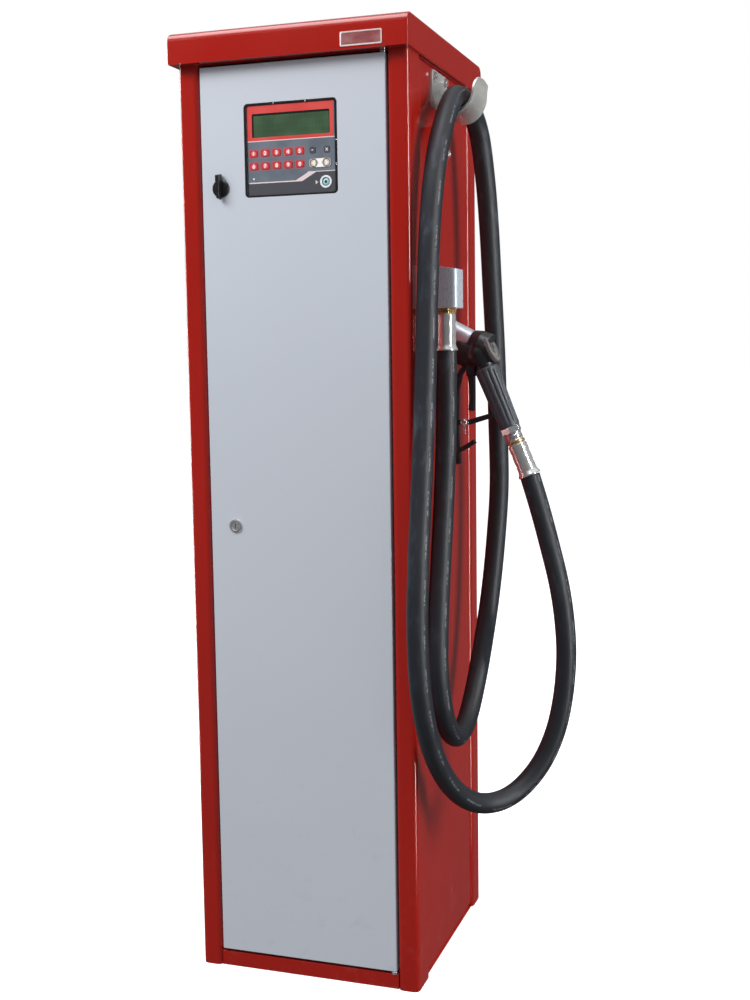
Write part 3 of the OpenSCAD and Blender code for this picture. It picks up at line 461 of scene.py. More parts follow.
def key_cream(tones):
    """Cream rocker with a pale hourglass between its two darker ends."""
    f = Finish("key_cream", (0.56, 0.50, 0.44), 0.38)
    x, _, z = f.axes()
    centre = middle("arrow_rocker")
    dx = abs(x - centre.x)
    dz = abs(z - centre.z)
    hourglass = dx < dz * 0.7 + 0.0022
    ring = f.reach(dx - 0.0105, dz).between(0.0048, 0.0062)
    tip = dx - 0.0085
    arrow = tip.between(0.0, 0.0048) * (dz < tip * -0.9 + 0.0045)
    ringed = f.mixed(ring, f.base, (0.10, 0.08, 0.07))
    f.cover("Base Color", f.mixed(hourglass + arrow * 0.9, ringed, (0.90, 0.87, 0.82)))
    f.relief(f.noise(1500.0, 2.0), 0.00002)
    return f


def keypad_film(tones):
    """Printed film: a red field above, grey round the keys, and a pale line that steps up."""
    f = Finish("keypad_film", tuple(tones.keypad_grey), 0.30, Coat_Weight=0.3, Coat_Roughness=0.12)
    centre = middle("keypad_plate")
    x, _, z = f.axes()
    x = x - centre.x
    z = z - centre.z
    red_foot = 13.7 * MM
    right_end = 69.5 * MM
    thin = 0.6 * MM
    bold = 0.9 * MM
    step_low = -48.8 * MM
    step_high = -36.3 * MM
    band = 13.5 * MM
    sheen = f.noise(30.0, 2.0).spread(0.3, 0.7)
    grey = f.mixed(sheen, tuple(tones.keypad_grey), tuple(c * 1.35 for c in tones.keypad_grey))
    climb = (z - step_low) * 1.8 + 5.6 * MM
    under_step = (x > climb) * (z < step_high)
    strip = f.maths("MAXIMUM", under_step, z < step_low)
    field = f.mixed(strip, grey, (0.075, 0.078, 0.088))
    low_line = (abs(z - step_low) < bold) * (x < 7 * MM) * (x > -right_end)
    high_line = (abs(z - step_high) < thin) * (x > 27 * MM)
    ramp = (x > climb) * (x < climb + band) * z.between(step_low - bold, step_high + thin)
    red_line = abs(z - red_foot) < thin
    arrow_tip = 43.5 * MM
    arrow = x.between(arrow_tip - 4 * MM, arrow_tip) * (abs(z + 52.4 * MM) < (arrow_tip - x) * 0.8)
    lines = f.maths("MINIMUM", low_line + high_line + ramp + red_line + arrow, 1.0)
    start, pitch_x, pitch_z = key_grid()
    start = start - centre
    near_x = abs(x.repeated(start.x, pitch_x)) < 8.3 * MM
    near_z = abs(z.repeated(start.z, pitch_z)) < 6.9 * MM
    columns = x < start.x + pitch_x * 4.5
    rows = z.between(start.z - pitch_z * 1.5, start.z + pitch_z * 0.5)
    halo = near_x * near_z * columns * rows
    field = f.mixed(halo * 0.75, field, (0.42, 0.10, 0.11))
    wear = f.noise(22.0, 2.0).spread(0.3, 0.8)
    worn = f.mixed(wear, tuple(tones.keypad_red), (0.68, 0.085, 0.075))
    field = f.mixed((z > red_foot) * (x < right_end), field, worn)
    f.cover("Base Color", f.mixed(lines, field, tuple(tones.keypad_line)))
    f.relief(f.noise(900.0, 2.0), 0.00002)
    return f


def lcd_glass(tones):
    """Unlit display behind glass, with blank character cells and a shaded upper edge."""
    f = Finish("lcd_glass", tuple(tones.display), 0.12, Coat_Weight=0.8, Coat_Roughness=0.03)
    x, _, z = f.axes()
    window = 127 * MM
    window_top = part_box("keypad_plate")[1].z - 12.1 * MM
    window_left = middle("lcd_module").x - window / 2
    window_right = window_left + window
    shade = f.maths("MAXIMUM", z > window_top - 3.2 * MM, x < window_left + 2.8 * MM)
    shade = f.maths("MAXIMUM", shade, x > window_right - 1.2 * MM)
    cell_x = abs(x.repeated(window_left, 5.8 * MM)) < 2.3 * MM
    cell_z = abs(z.repeated(window_top, 9.2 * MM)) < 3.6 * MM
    glow = f.noise(24.0, 2.0).spread(0.3, 0.7)
    green = f.mixed(glow, tuple(tones.display), tuple(c * 1.5 for c in tones.display))
    green = f.mixed(cell_x * cell_z * 0.10, green, (0.02, 0.03, 0.02))
    f.cover("Base Color", f.mixed(shade, green, (0.012, 0.016, 0.012)))
    return f


def reader_blue(tones):
    """Fob reader: a pale ring round a darker eye."""
    f = Finish("reader_blue", (0.50, 0.60, 0.64), 0.22, Coat_Weight=0.5, Coat_Roughness=0.08)
    x, _, z = f.axes()
    centre = middle("fob_reader")
    reach = f.reach(x - centre.x, z - centre.z)
    rim = f.mixed(reach > 6.6 * MM, (0.10, 0.22, 0.25), (0.78, 0.82, 0.84))
    eye = f.mixed(reach < 4.6 * MM, rim, (0.42, 0.60, 0.62))
    f.cover("Base Color", f.mixed(reach < 2.2 * MM, eye, (0.02, 0.06, 0.07)))
    return f


def led_white(tones):
    return Finish("led_white", (0.85, 0.80, 0.82), 0.2, slot="key_cream", Coat_Weight=0.6)


def badge_red(tones):
    """Plain brushed plate of the roof badge, with no lettering."""
    f = Finish("badge_red", (0.30, 0.07, 0.075), 0.35, 0.3, slot="red_paint")
    f.cover("Base Color", f.mixed(f.noise(40.0, 3.0).spread(0.35, 0.7), f.base, (0.40, 0.17, 0.17)))
    f.relief(f.noise(900.0, 2.0, at=f.stretched((0.05, 1, 1))), 0.00002)
    return f


def board_green(tones):
    f = Finish("board_green", (0.02, 0.13, 0.06), 0.35, Coat_Weight=0.4)
    x, _, z = f.axes()
    tracks = f.maths("SINE", x * 2400.0) * f.maths("SINE", z * 900.0 + x * 300.0)
    f.cover("Base Color", f.mixed(tracks > 0.55, f.base, (0.05, 0.26, 0.12)))
    f.relief(tracks, 0.00003)
    return f


def box_grey(tones):
    return moulded("box_grey", (0.045, 0.047, 0.052), 0.5, slot="black_plastic")


def cast(name, base, grain=420.0, depth=0.00035, slot=None):
    """Sand-cast metal with a pebbled skin, oil stains and dust in the hollows."""
    f = Finish(name, base, 0.55, 0.25, slot=slot)
    pebbles = f.noise(grain, 4.0, 0.6)
    stain = f.noise(18.0, 5.0, 0.6).spread(0.52, 0.72)
    dark = tuple(c * 0.35 for c in base)
    f.cover("Base Color", f.mixed(stain * 0.6, f.clouded(45.0, 0.15), dark))
    f.cover("Roughness", pebbles * 0.2 - stain * 0.18 + 0.45)
    f.relief(pebbles, depth)
    return f


def cast_grey(tones):
    return cast("cast_grey", (0.20, 0.21, 0.22))


def meter_alloy(tones):
    return cast("meter_alloy", (0.42, 0.43, 0.44), 600.0, 0.0002, slot="alloy")


def motor_blue(tones):
    return cast("motor_blue", tuple(tones.motor), 380.0, 0.0002)


def filter_white(tones):
    f = Finish("filter_white", (0.74, 0.75, 0.76), 0.28, Coat_Weight=0.4)
    drips = f.noise(30.0, 4.0, 0.6, at=f.stretched((1, 1, 0.12))).spread(0.58, 0.75)
    f.cover("Base Color", f.mixed(drips * 0.4, f.clouded(12.0, 0.04), (0.50, 0.44, 0.30)))
    f.relief(f.noise(350.0, 2.0), 0.00004)
    return f


def rotor_white(tones):
    return moulded("rotor_white", (0.75, 0.75, 0.70), 0.45)


def frame_zinc(tones):
    f = zinc_sheet(tones)
    f.material.name = "frame_zinc"
    return f


FINISH_MAKERS = [
    red_paint, door_paint, bright_steel, chrome_ferrule, alloy, hood_steel, badge_rim,
    brass_fitting, zinc_sheet, hook_steel, hose_rubber, black_plastic, nozzle_black,
    grip_black, nozzle_cap_grey,
    key_red, key_print, key_grey, key_cream, keypad_film, lcd_glass, reader_blue, led_white,
    badge_red, board_green, box_grey, cast_grey, meter_alloy, motor_blue, filter_white,
    rotor_white, frame_zinc,
]
MADE_FINISHES = {}


def finish_named(name):
    """The finish of that name, made the first time that a piece asks for it."""
    if name not in MADE_FINISHES:
        makers = {maker.__name__: maker for maker in FINISH_MAKERS}
        MADE_FINISHES[name] = makers[name](bpy.context.scene.dispenser_colours)
    return MADE_FINISHES[name]


# ---- meshes ----

def newly(bm, make):
    """The vertices that a call of make adds to a bmesh."""
    before = set(bm.verts)
    make()
    return [v for v in bm.verts if v not in before]


def linked(name, data):
    """A new object in the scene."""
    obj = bpy.data.objects.new(name, data)
    bpy.context.scene.collection.objects.link(obj)
    return obj


def moved(bm, verts, matrix):
    bmesh.ops.transform(bm, matrix=matrix, verts=verts)


def facing(origin, way):
    """A matrix at a point whose Z runs along a direction."""
    z = Vector(way).normalized()
    side = Vector((0, 1, 0)) if abs(z.y) < 0.9 else Vector((1, 0, 0))
    x = side.cross(z).normalized()
    y = z.cross(x)
    turn = Matrix((x, y, z)).transposed().to_4x4()
    return Matrix.Translation(origin) @ turn


def block(bm, low, high):
    """A box between two corners."""
    low = Vector(low)
    high = Vector(high)
    size = high - low
    place = Matrix.Translation((low + high) / 2) @ Matrix.Diagonal((*size, 1))
    return bmesh.ops.create_cube(bm, size=1.0, matrix=place)["verts"]


def turned(bm, profile, place, steps=64):
    """A profile of (radius, height) pairs, spun round Z and put in its place."""
    def spin():
        verts = [bm.verts.new((radius, 0, height)) for radius, height in profile]
        edges = [bm.edges.new(pair) for pair in zip(verts, verts[1:])]
        bmesh.ops.spin(bm, geom=verts + edges, cent=(0, 0, 0), axis=(0, 0, 1),
                       angle=math.tau, steps=steps, use_merge=True)
    made = newly(bm, spin)
    bmesh.ops.remove_doubles(bm, verts=made, dist=1e-6)
    made = [v for v in made if v.is_valid]
    bmesh.ops.recalc_face_normals(bm, faces=list({f for v in made for f in v.link_faces}))
    moved(bm, made, place)
    return made


def hexagon(bm, radius, base, height, place):
    """A six-sided head or nut that stands a base height above a place."""
    head = bmesh.ops.create_cone(bm, cap_ends=True, segments=6, radius1=radius,
                                 radius2=radius, depth=height)["verts"]
    moved(bm, head, place @ Matrix.Translation((0, 0, base + height / 2)))


def plate(bm, width, height, corner, thickness, place, corner_steps=6):
    """A flat plate with round corners in its XY plane, from z = 0 to its thickness."""
    def make():
        card = bmesh.ops.create_grid(bm, x_segments=1, y_segments=1, size=0.5)["verts"]
        moved(bm, card, Matrix.Diagonal((width, height, 1, 1)))
        if corner:
            bmesh.ops.bevel(bm, geom=card, affect="VERTICES", offset=corner,
                            segments=corner_steps, profile=0.5, material=-1)
    outline = newly(bm, make)
    faces = list({f for v in outline for f in v.link_faces})
    risen = bmesh.ops.extrude_face_region(bm, geom=faces)["geom"]
    top = [v for v in risen if isinstance(v, bmesh.types.BMVert)]
    bmesh.ops.translate(bm, vec=(0, 0, thickness), verts=top)
    made = outline + top
    bmesh.ops.recalc_face_normals(bm, faces=list({f for v in made for f in v.link_faces}))
    moved(bm, made, place)
    return made


def lofted(bm, rings):
    """Rings of vertices joined one to the next, with both ends filled."""
    loops = [list({e for v in ring for e in v.link_edges}) for ring in rings]
    for first, second in zip(loops, loops[1:]):
        bmesh.ops.bridge_loops(bm, edges=first + second)
    for end in (loops[0], loops[-1]):
        bmesh.ops.contextual_create(bm, geom=end)
    verts = [v for ring in rings for v in ring]
    bmesh.ops.recalc_face_normals(bm, faces=list({f for v in verts for f in v.link_faces}))
    return verts


def smoothed(bm, crease=32.0):
    """Shades the faces smooth and marks the edges that turn by more than the crease."""
    limit = math.radians(crease)
    for face in bm.faces:
        face.smooth = True
    for edge in bm.edges:
        if len(edge.link_faces) == 2:
            edge.smooth = edge.calc_face_angle(0.0) < limit


def piece(bm, name, body, finishes, replaces=(), rounding=0.0, segments=3, thickness=0.0,
          crease=32.0, weighted=True):
    """Makes a bmesh an object with its finishes and round edges, riding on a body if given."""
    if not rounding:
        smoothed(bm, crease)
    else:
        for face in bm.faces:
            face.smooth = True
    mesh = bpy.data.meshes.new(name)
    bm.to_mesh(mesh)
    bm.free()
    obj = linked(name, mesh)
    names = [finishes] if isinstance(finishes, str) else finishes
    for finish in names:
        mesh.materials.append(finish_named(finish).material)
    if thickness:
        wall = obj.modifiers.new("Wall", "SOLIDIFY")
        wall.thickness = thickness
        wall.offset = -1.0
        wall.use_even_offset = True
    if rounding:
        edge = obj.modifiers.new("Edges", "BEVEL")
        edge.width = rounding
        edge.segments = segments
        edge.profile = 0.5
        edge.limit_method = "ANGLE"
        edge.angle_limit = math.radians(crease)
        edge.use_clamp_overlap = True
    if weighted:
        normals = obj.modifiers.new("Normals", "WEIGHTED_NORMAL")
        normals.keep_sharp = True
    if body:
        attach(obj, body)
    finish_named(names[0]).slot
    if replaces:
        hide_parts(*([replaces] if isinstance(replaces, str) else replaces))
    return obj


def refined(node, body, finish, rounding=0.0006, segments=2, crease=32.0, pick=None,
            pick_rounding=0.0):
    """A CAD node's own shape as a clean mesh with rounded edges and a finish.

    pick says which edges get the larger pick_rounding, by their two ends."""
    bm = bmesh.new()
    bm.from_mesh(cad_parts[node].data)
    bmesh.ops.remove_doubles(bm, verts=bm.verts, dist=1e-6)
    bmesh.ops.dissolve_limit(bm, angle_limit=math.radians(0.6), verts=bm.verts, edges=bm.edges)
    if pick:
        chosen = [e for e in bm.edges if pick(e)]
        bmesh.ops.bevel(bm, geom=chosen, affect="EDGES", offset=pick_rounding,
                        segments=4, profile=0.5, material=-1, clamp_overlap=False)
    return piece(bm, "fine_" + node, body, finish, node, rounding, segments, crease=crease)


class Builder(bpy.types.Operator):
    """Base of the operators that each build one group of pieces."""
    bl_options = {"REGISTER", "UNDO"}

    def execute(self, context):
        self.build(context.scene.dispenser_sizes)
        return {"FINISHED"}


# ---- camera and hoses ----

class DISPENSER_OT_camera(Builder):
    """Put the camera in front, a little to the right and at two thirds of the height"""
    bl_idname = "dispenser.camera"
    bl_label = "Camera"

    def build(self, sizes):
        yaw = math.radians(18.62)
        pitch = math.radians(-6.311)
        roll = math.radians(-0.814)
        forward = Vector((-math.sin(yaw) * math.cos(pitch), math.cos(yaw) * math.cos(pitch),
                          math.sin(pitch)))
        level = Vector((math.cos(yaw), math.sin(yaw), 0))
        upward = level.cross(forward)
        right = level * math.cos(roll) + upward * math.sin(roll)
        up = upward * math.cos(roll) - level * math.sin(roll)
        data = bpy.data.cameras.new("camera")
        data.lens = 48.16
        data.sensor_width = 36.0
        place = Vector((0.77656, -2.12852, 1.00921))
        data.clip_end = 200.0
        camera = linked("camera", data)
        turn = Matrix((right, up, -forward)).transposed().to_4x4()
        camera.matrix_world = Matrix.Translation(place) @ turn
        bpy.context.scene.camera = camera


def smooth_path(points, step):
    """Points a step apart on the smooth curve through the route's points."""
    path = []
    for i in range(len(points) - 1):
        a = points[max(i - 1, 0)]
        b = points[i]
        c = points[i + 1]
        d = points[min(i + 2, len(points) - 1)]
        count = max(2, round((c - b).length / step))
        for j in range(count):
            t = j / count
            path.append(0.5 * (2 * b + (c - a) * t + (2 * a - 5 * b + 4 * c - d) * t * t
                               + (3 * b - a - 3 * c + d) * t * t * t))
    return path + [points[-1]]


def path_length(path):
    return sum((b - a).length for a, b in zip(path, path[1:]))


def hose_mesh(path, radius, sides, before):
    """A tube along a path. Its straight attribute is the place on the unbent hose."""
    bm = bmesh.new()
    layer = bm.verts.layers.float_vector.new("straight")
    rings = []
    run = before
    side = Vector((1, 0, 0))
    for k, centre in enumerate(path):
        way = (path[min(k + 1, len(path) - 1)] - path[max(k - 1, 0)]).normalized()
        side = (side - side.dot(way) * way).normalized()
        run += (centre - path[k - 1]).length if k else 0.0
        ring = bmesh.ops.create_circle(bm, segments=sides, radius=radius)["verts"]
        for vert in ring:
            vert[layer] = (vert.co.x, vert.co.y, run)
        turn = Matrix((side, way.cross(side), way)).transposed().to_4x4()
        moved(bm, ring, Matrix.Translation(centre) @ turn)
        rings.append(ring)
    lofted(bm, rings)
    return bm


class DISPENSER_OT_hoses(Builder):
    """Lay the delivery hose from the outlet over the hook and round to the nozzle"""
    bl_idname = "dispenser.hoses"
    bl_label = "Hoses"

    def build(self, sizes):
        sides = 36
        route = [Vector(point) * MM for point in HOSE_ROUTE]
        path = smooth_path(route, sizes.hose_step)
        meet = min(range(len(path)), key=lambda i: (path[i] - route[HOSE_JOINT]).length)
        first = path[:meet + 1]
        second = path[meet:]
        before = path_length(first)
        supply = piece(hose_mesh(first, sizes.hose_radius, sides, 0.0), "supply_hose", "cabinet",
                       "hose_rubber", "delivery_hose", weighted=False)
        whip = piece(hose_mesh(second, sizes.hose_radius, sides, before), "whip_hose", None,
                     "hose_rubber", "nozzle_hose", weighted=False)
        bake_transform(whip)
        path_length(second)


# ---- cabinet ----

def on_outline(edge, low, high, tolerance=1e-5):
    """True for an edge on the four outer edges of a box's front face or its four corners."""
    def flags(co):
        return (abs(co.x - low.x) < tolerance, abs(co.x - high.x) < tolerance,
                abs(co.z - low.z) < tolerance, abs(co.z - high.z) < tolerance,
                abs(co.y - low.y) < tolerance)
    shared = [a and b for a, b in zip(flags(edge.verts[0].co), flags(edge.verts[1].co))]
    return sum(shared) >= 2


class DISPENSER_OT_posts(Builder):
    """Fold the four hollow corner posts, with slots for the locks' cams in the front left one"""
    bl_idname = "dispenser.posts"
    bl_label = "Posts"

    def slot(self, bm, low, high):
        """Cuts the window of a cam slot out of the post's inner wall."""
        for axis in (1, 2):
            for corner in (low, high):
                normal = Vector((0, 0, 0))
                normal[axis] = 1.0
                bmesh.ops.bisect_plane(bm, geom=bm.verts[:] + bm.edges[:] + bm.faces[:],
                                       plane_co=corner, plane_no=normal, dist=1e-7)
        window = [f for f in bm.faces if all(
            low[i] < f.calc_center_median()[i] < high[i] for i in range(3))]
        bmesh.ops.delete(bm, geom=window, context="FACES")

    def build(self, sizes):
        for side in ("front_left", "front_right", "rear_left", "rear_right"):
            low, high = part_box(side + "_post")
            bm = bmesh.new()
            size = high - low
            card = bmesh.ops.create_grid(bm, x_segments=1, y_segments=1, size=0.5)["verts"]
            moved(bm, card, Matrix.Translation((low + high) / 2 - Vector((0, 0, size.z / 2)))
                  @ Matrix.Diagonal((size.x, size.y, 1, 1)))
            bmesh.ops.bevel(bm, geom=card, affect="VERTICES", offset=sizes.post_corner,
                            segments=8, profile=0.5, material=-1)
            bmesh.ops.delete(bm, geom=bm.faces[:], context="FACES_ONLY")
            walls = bmesh.ops.extrude_edge_only(bm, edges=bm.edges[:])["geom"]
            top = [v for v in walls if isinstance(v, bmesh.types.BMVert)]
            bmesh.ops.translate(bm, vec=(0, 0, size.z), verts=top)
            bmesh.ops.recalc_face_normals(bm, faces=bm.faces)
            if side == "front_left":
                wall = 0.004
                rise = 0.011
                for node, centre, fall in (("wing_knob", KNOB_CENTRE, 0.0352),
                                           ("lock_plug", LOCK_CENTRE, 0.0390)):
                    cam_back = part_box(node)[1].y
                    self.slot(bm, Vector((high.x - wall, cam_back - 0.004, centre.z - fall)),
                              Vector((high.x + wall, cam_back + 0.0015, centre.z + rise)))
            piece(bm, side + "_channel", "cabinet", "red_paint", side + "_post",
                  thickness=sizes.sheet)


class DISPENSER_OT_panels(Builder):
    """Fit the sheet panels, the base plate and the rails between the posts"""
    bl_idname = "dispenser.panels"
    bl_label = "Panels"

    def build(self, sizes):
        for node in ("left_panel", "right_panel", "base_plate", "front_sill", "front_header"):
            refined(node, "cabinet", "red_paint", sizes.fold * 0.5, 2)
        refined("rear_panel", "cabinet", "red_paint", sizes.fold * 0.4, 2)
        self.flanges()
        self.louvres()

    def flanges(self):
        """Folded edges that back the panels' seams, foot and top."""
        lap = 0.010
        gauge = 0.0015
        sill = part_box("base_plate")[1].z
        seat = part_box("roof_cap")[0].z - 0.0004
        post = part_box("rear_right_post")[1]
        side_low, side_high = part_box("right_panel")
        rear_low, rear_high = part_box("rear_panel")
        bm = bmesh.new()
        for side in (-1, 1):
            skin = side * side_low.x
            inside = skin - side * gauge
            for y in (side_low.y, side_high.y):
                self.strip(bm, (inside, y - lap, sill), (skin, y + lap, side_high.z))
            self.strip(bm, (inside, side_low.y, sill), (skin, side_high.y, side_low.z + lap))
            self.strip(bm, (inside, side_low.y, seat - gauge), (side * post.x, side_high.y, seat))
            x = side * rear_high.x
            self.strip(bm, (x - lap, rear_low.y - gauge, sill), (x + lap, rear_low.y, rear_high.z))
        width = rear_high.x
        self.strip(bm, (-width, rear_low.y - gauge, sill), (width, rear_low.y, rear_low.z + lap))
        self.strip(bm, (-width, rear_low.y - gauge, seat - gauge), (width, post.y, seat))
        piece(bm, "panel_flanges", "cabinet", "red_paint", (), 0.0003, 1)

    def strip(self, bm, first, second):
        """A flat strip between two corners, given in any order."""
        pairs = list(zip(first, second))
        block(bm, [min(pair) for pair in pairs], [max(pair) for pair in pairs])

    def louvres(self):
        """Pressed lips over the slots in the rear panel."""
        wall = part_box("rear_panel")[1].y
        width = 0.120
        bar = 0.016
        pitch = 0.020
        lip = 0.0035
        bm = bmesh.new()
        for foot in (0.186, 1.246):
            for row in range(6):
                z = foot + row * pitch
                for side in (-1, 1):
                    x = side * (width + bar) / 2
                    made = block(bm, (x - width / 2, wall - 0.0005, z - 0.001),
                                 (x + width / 2, wall + lip, z + 0.0045))
                    for vert in made:
                        if vert.co.y > wall and vert.co.z > z:
                            vert.co.y = wall
        piece(bm, "louvre_lips", "cabinet", "red_paint", (), 0.0007, 2)


class DISPENSER_OT_roof(Builder):
    """Fold the roof cap with its round front and back bends, and fix its badge"""
    bl_idname = "dispenser.roof"
    bl_label = "Roof cap"

    def build(self, sizes):
        low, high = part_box("roof_cap")
        body_low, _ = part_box("front_left_post")
        _, body_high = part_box("rear_right_post")
        bm = bmesh.new()
        block(bm, low, high)
        bends = [e for e in bm.edges if all(abs(v.co.z - high.z) < 1e-6 for v in e.verts)
                 and abs(e.verts[0].co.y - e.verts[1].co.y) < 1e-6]
        bmesh.ops.bevel(bm, geom=bends, affect="EDGES", offset=0.014, segments=10,
                        profile=0.5, material=-1)
        sides = [e for e in bm.edges if abs(e.verts[0].co.x - e.verts[1].co.x) < 1e-6
                 and abs(abs(e.verts[0].co.x) - high.x) < 1e-6]
        bmesh.ops.bevel(bm, geom=sides, affect="EDGES", offset=sizes.fold * 1.3, segments=4,
                        profile=0.5, material=-1)
        soffit = [f for f in bm.faces if f.normal.z < -0.99]
        bmesh.ops.inset_region(bm, faces=soffit, thickness=0.004)
        hole = [f for f in soffit if f.is_valid]
        for vert in {v for f in hole for v in f.verts}:
            vert.co.x = max(body_low.x, min(body_high.x, vert.co.x * 1.1))
            vert.co.y = body_low.y if vert.co.y < 0 else body_high.y
        bmesh.ops.delete(bm, geom=hole, context="FACES")
        piece(bm, "roof_sheet", "cabinet", "red_paint", "roof_cap", thickness=0.0014,
              crease=38.0)
        self.badge(low, high)

    def badge(self, low, high):
        """A plain plate in a bright frame at the right end of the cap's front."""
        width = 0.065
        height = 0.021
        from_end = 0.072
        up = 0.0145
        centre = Vector((high.x - from_end, low.y, low.z + up))
        bm = bmesh.new()
        plate(bm, height, width, 0.002, 0.0012, facing(centre, (0, -1, 0)))
        frame_face = [f for f in bm.faces if f.normal.y < -0.99]
        bmesh.ops.inset_region(bm, faces=frame_face, thickness=0.0016)
        bmesh.ops.inset_region(bm, faces=frame_face, thickness=0.0004, depth=-0.0005)
        for face in frame_face:
            face.material_index = 1
        piece(bm, "roof_badge", "cabinet", ("badge_rim", "badge_red"), (), 0.0002, 2)


# ---- door ----

class DISPENSER_OT_door(Builder):
    """Fold the door pan and set its hinge pins"""
    bl_idname = "dispenser.door"
    bl_label = "Door"

    def build(self, sizes):
        low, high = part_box("door")
        refined("door", "door", "door_paint", 0.0, pick=lambda e: on_outline(e, low, high),
                pick_rounding=sizes.door_fold)
        refined("hinge_pins", "cabinet", "bright_steel", 0.0004)


class DISPENSER_OT_locks(Builder):
    """Mould the wing knob and turn the key lock with its plug"""
    bl_idname = "dispenser.locks"
    bl_label = "Locks"

    def build(self, sizes):
        low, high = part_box("wing_knob")
        radius = 0.014
        tail = 0.007
        out = facing(KNOB_CENTRE, (0, -1, 0))
        bm = bmesh.new()
        turned(bm, [(0, -0.0003), (0.0005, -0.0003), (radius, 0.0), (radius, 0.0024),
                    (radius - 0.0014, 0.0040), (radius - 0.005, 0.0050), (0, 0.0054)], out)
        turned(bm, [(0, -0.023), (0.008, -0.023), (0.008, 0.0), (0, 0.0)], out, 48)
        fin = block(bm, (-0.0215, -0.0035, 0.003), (0.0175, 0.0035, 0.0155))
        for vert in fin:
            if vert.co.x > 0:
                vert.co.y *= 0.55
            if vert.co.z > 0.01:
                vert.co.x *= 0.90
        moved(bm, fin, out)
        block(bm, (KNOB_CENTRE.x - tail, high.y - 0.0025, low.z),
              (KNOB_CENTRE.x + tail, high.y, KNOB_CENTRE.z + tail))
        piece(bm, "wing_knob_moulding", "wing_knob", "black_plastic", "wing_knob", 0.0012, 3)
        refined("door_lock", "door", "bright_steel", 0.0)
        refined("lock_plug", "lock_plug", "bright_steel", 0.0003)
        self.collar(Vector((LOCK_CENTRE.x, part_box("door_lock")[0].y, LOCK_CENTRE.z)))

    def collar(self, centre):
        """A stepped bright ring on the lock's flange."""
        bm = bmesh.new()
        turned(bm, [(0.0066, 0.0), (0.0102, 0.0), (0.0102, 0.0004), (0.0090, 0.0010),
                    (0.0072, 0.0012), (0.0066, 0.0008), (0.0066, 0.0)],
               facing(centre, (0, -1, 0)))
        piece(bm, "lock_bezel", "door", "bright_steel")


# ---- keypad ----

class DISPENSER_OT_keypad(Builder):
    """Fit the display frame, the printed plate, the display, the reader and the electronics"""
    bl_idname = "dispenser.keypad"
    bl_label = "Keypad and display"

    def build(self, sizes):
        refined("display_frame", "door", "black_plastic", sizes.moulding, 3)
        refined("keypad_plate", "door", "keypad_film", 0.0)
        refined("lcd_module", "door", "lcd_glass", 0.0)
        refined("control_board", "door", "board_green", 0.0002)
        refined("control_box", "door", "box_grey", 0.0008)
        self.reader()
        self.clips()
        self.box_screws()

    def reader(self):
        """The fob reader's eye, and the status lamp at the plate's lower left."""
        low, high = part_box("fob_reader")
        centre = middle("fob_reader")
        radius = (high.x - low.x) / 2
        place = facing(Vector((centre.x, high.y, centre.z)), (0, -1, 0))
        depth = high.y - low.y
        bm = bmesh.new()
        turned(bm, [(0, 0), (radius, 0), (radius, depth - 0.0006), (radius - 0.0006, depth),
                    (radius - 0.0026, depth), (radius - 0.0034, depth - 0.0010),
                    (radius - 0.0050, depth - 0.0012), (0.0030, depth - 0.0004),
                    (0.0015, depth - 0.0002), (0, depth - 0.0002)], place)
        piece(bm, "reader_eye", "door", "reader_blue", "fob_reader")
        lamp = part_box("keypad_plate")[0] + Vector((0.0097, 0, 0.0242))
        bm = bmesh.new()
        turned(bm, [(0, -0.001), (0.0015, -0.001), (0.0015, 0.0002), (0.0009, 0.0007), (0, 0.0009)],
               facing(lamp, (0, -1, 0)), 24)
        piece(bm, "status_lamp", "door", "led_white")

    def clips(self):
        """Bright spring clips that hold the frame in the door's cut-out."""
        low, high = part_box("display_frame")
        bm = bmesh.new()
        width = 0.0022
        outer = 0.0008
        inner = 0.0032
        proud = low.y - 0.0004
        back = low.y + 0.001
        for x in (low.x + 0.048, low.x + 0.100):
            block(bm, (x, proud, high.z - inner), (x + width, back, high.z - outer))
        for z in (low.z + 0.0425, low.z + 0.0775):
            block(bm, (high.x - inner, proud, z), (high.x - outer, back, z + width))
        piece(bm, "frame_clips", "door", "bright_steel", (), 0.0003, 2)

    def box_screws(self):
        """Screws on the back of the control box."""
        low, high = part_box("control_box")
        inset = 0.010
        bm = bmesh.new()
        for x in (low.x + inset, high.x - inset):
            for z in (low.z + inset, high.z - inset):
                turned(bm, [(0, 0), (0.0035, 0), (0.0035, 0.0012), (0.0022, 0.0024), (0, 0.0026)],
                       facing(Vector((x, high.y, z)), (0, 1, 0)), 24)
        piece(bm, "box_screws", "door", "bright_steel")


def digit_shape(text, height):
    """A digit as a thin solid in its own XY plane, centred."""
    curve = bpy.data.curves.new("digit", "FONT")
    curve.body = text
    curve.size = height * 1.4
    curve.extrude = 0.00012
    curve.offset = height * 0.02
    curve.align_x = "CENTER"
    curve.align_y = "CENTER"
    holder = linked("digit", curve)
    bpy.context.view_layer.update()
    mesh = bpy.data.meshes.new_from_object(holder.evaluated_get(
        bpy.context.evaluated_depsgraph_get()))
    bpy.data.objects.remove(holder)
    bpy.data.curves.remove(curve)
    xs = [v.co.x for v in mesh.vertices]
    ys = [v.co.y for v in mesh.vertices]
    centre = Vector(((min(xs) + max(xs)) / 2, (min(ys) + max(ys)) / 2, 0))
    mesh.transform(Matrix.Translation(-centre))
    return mesh


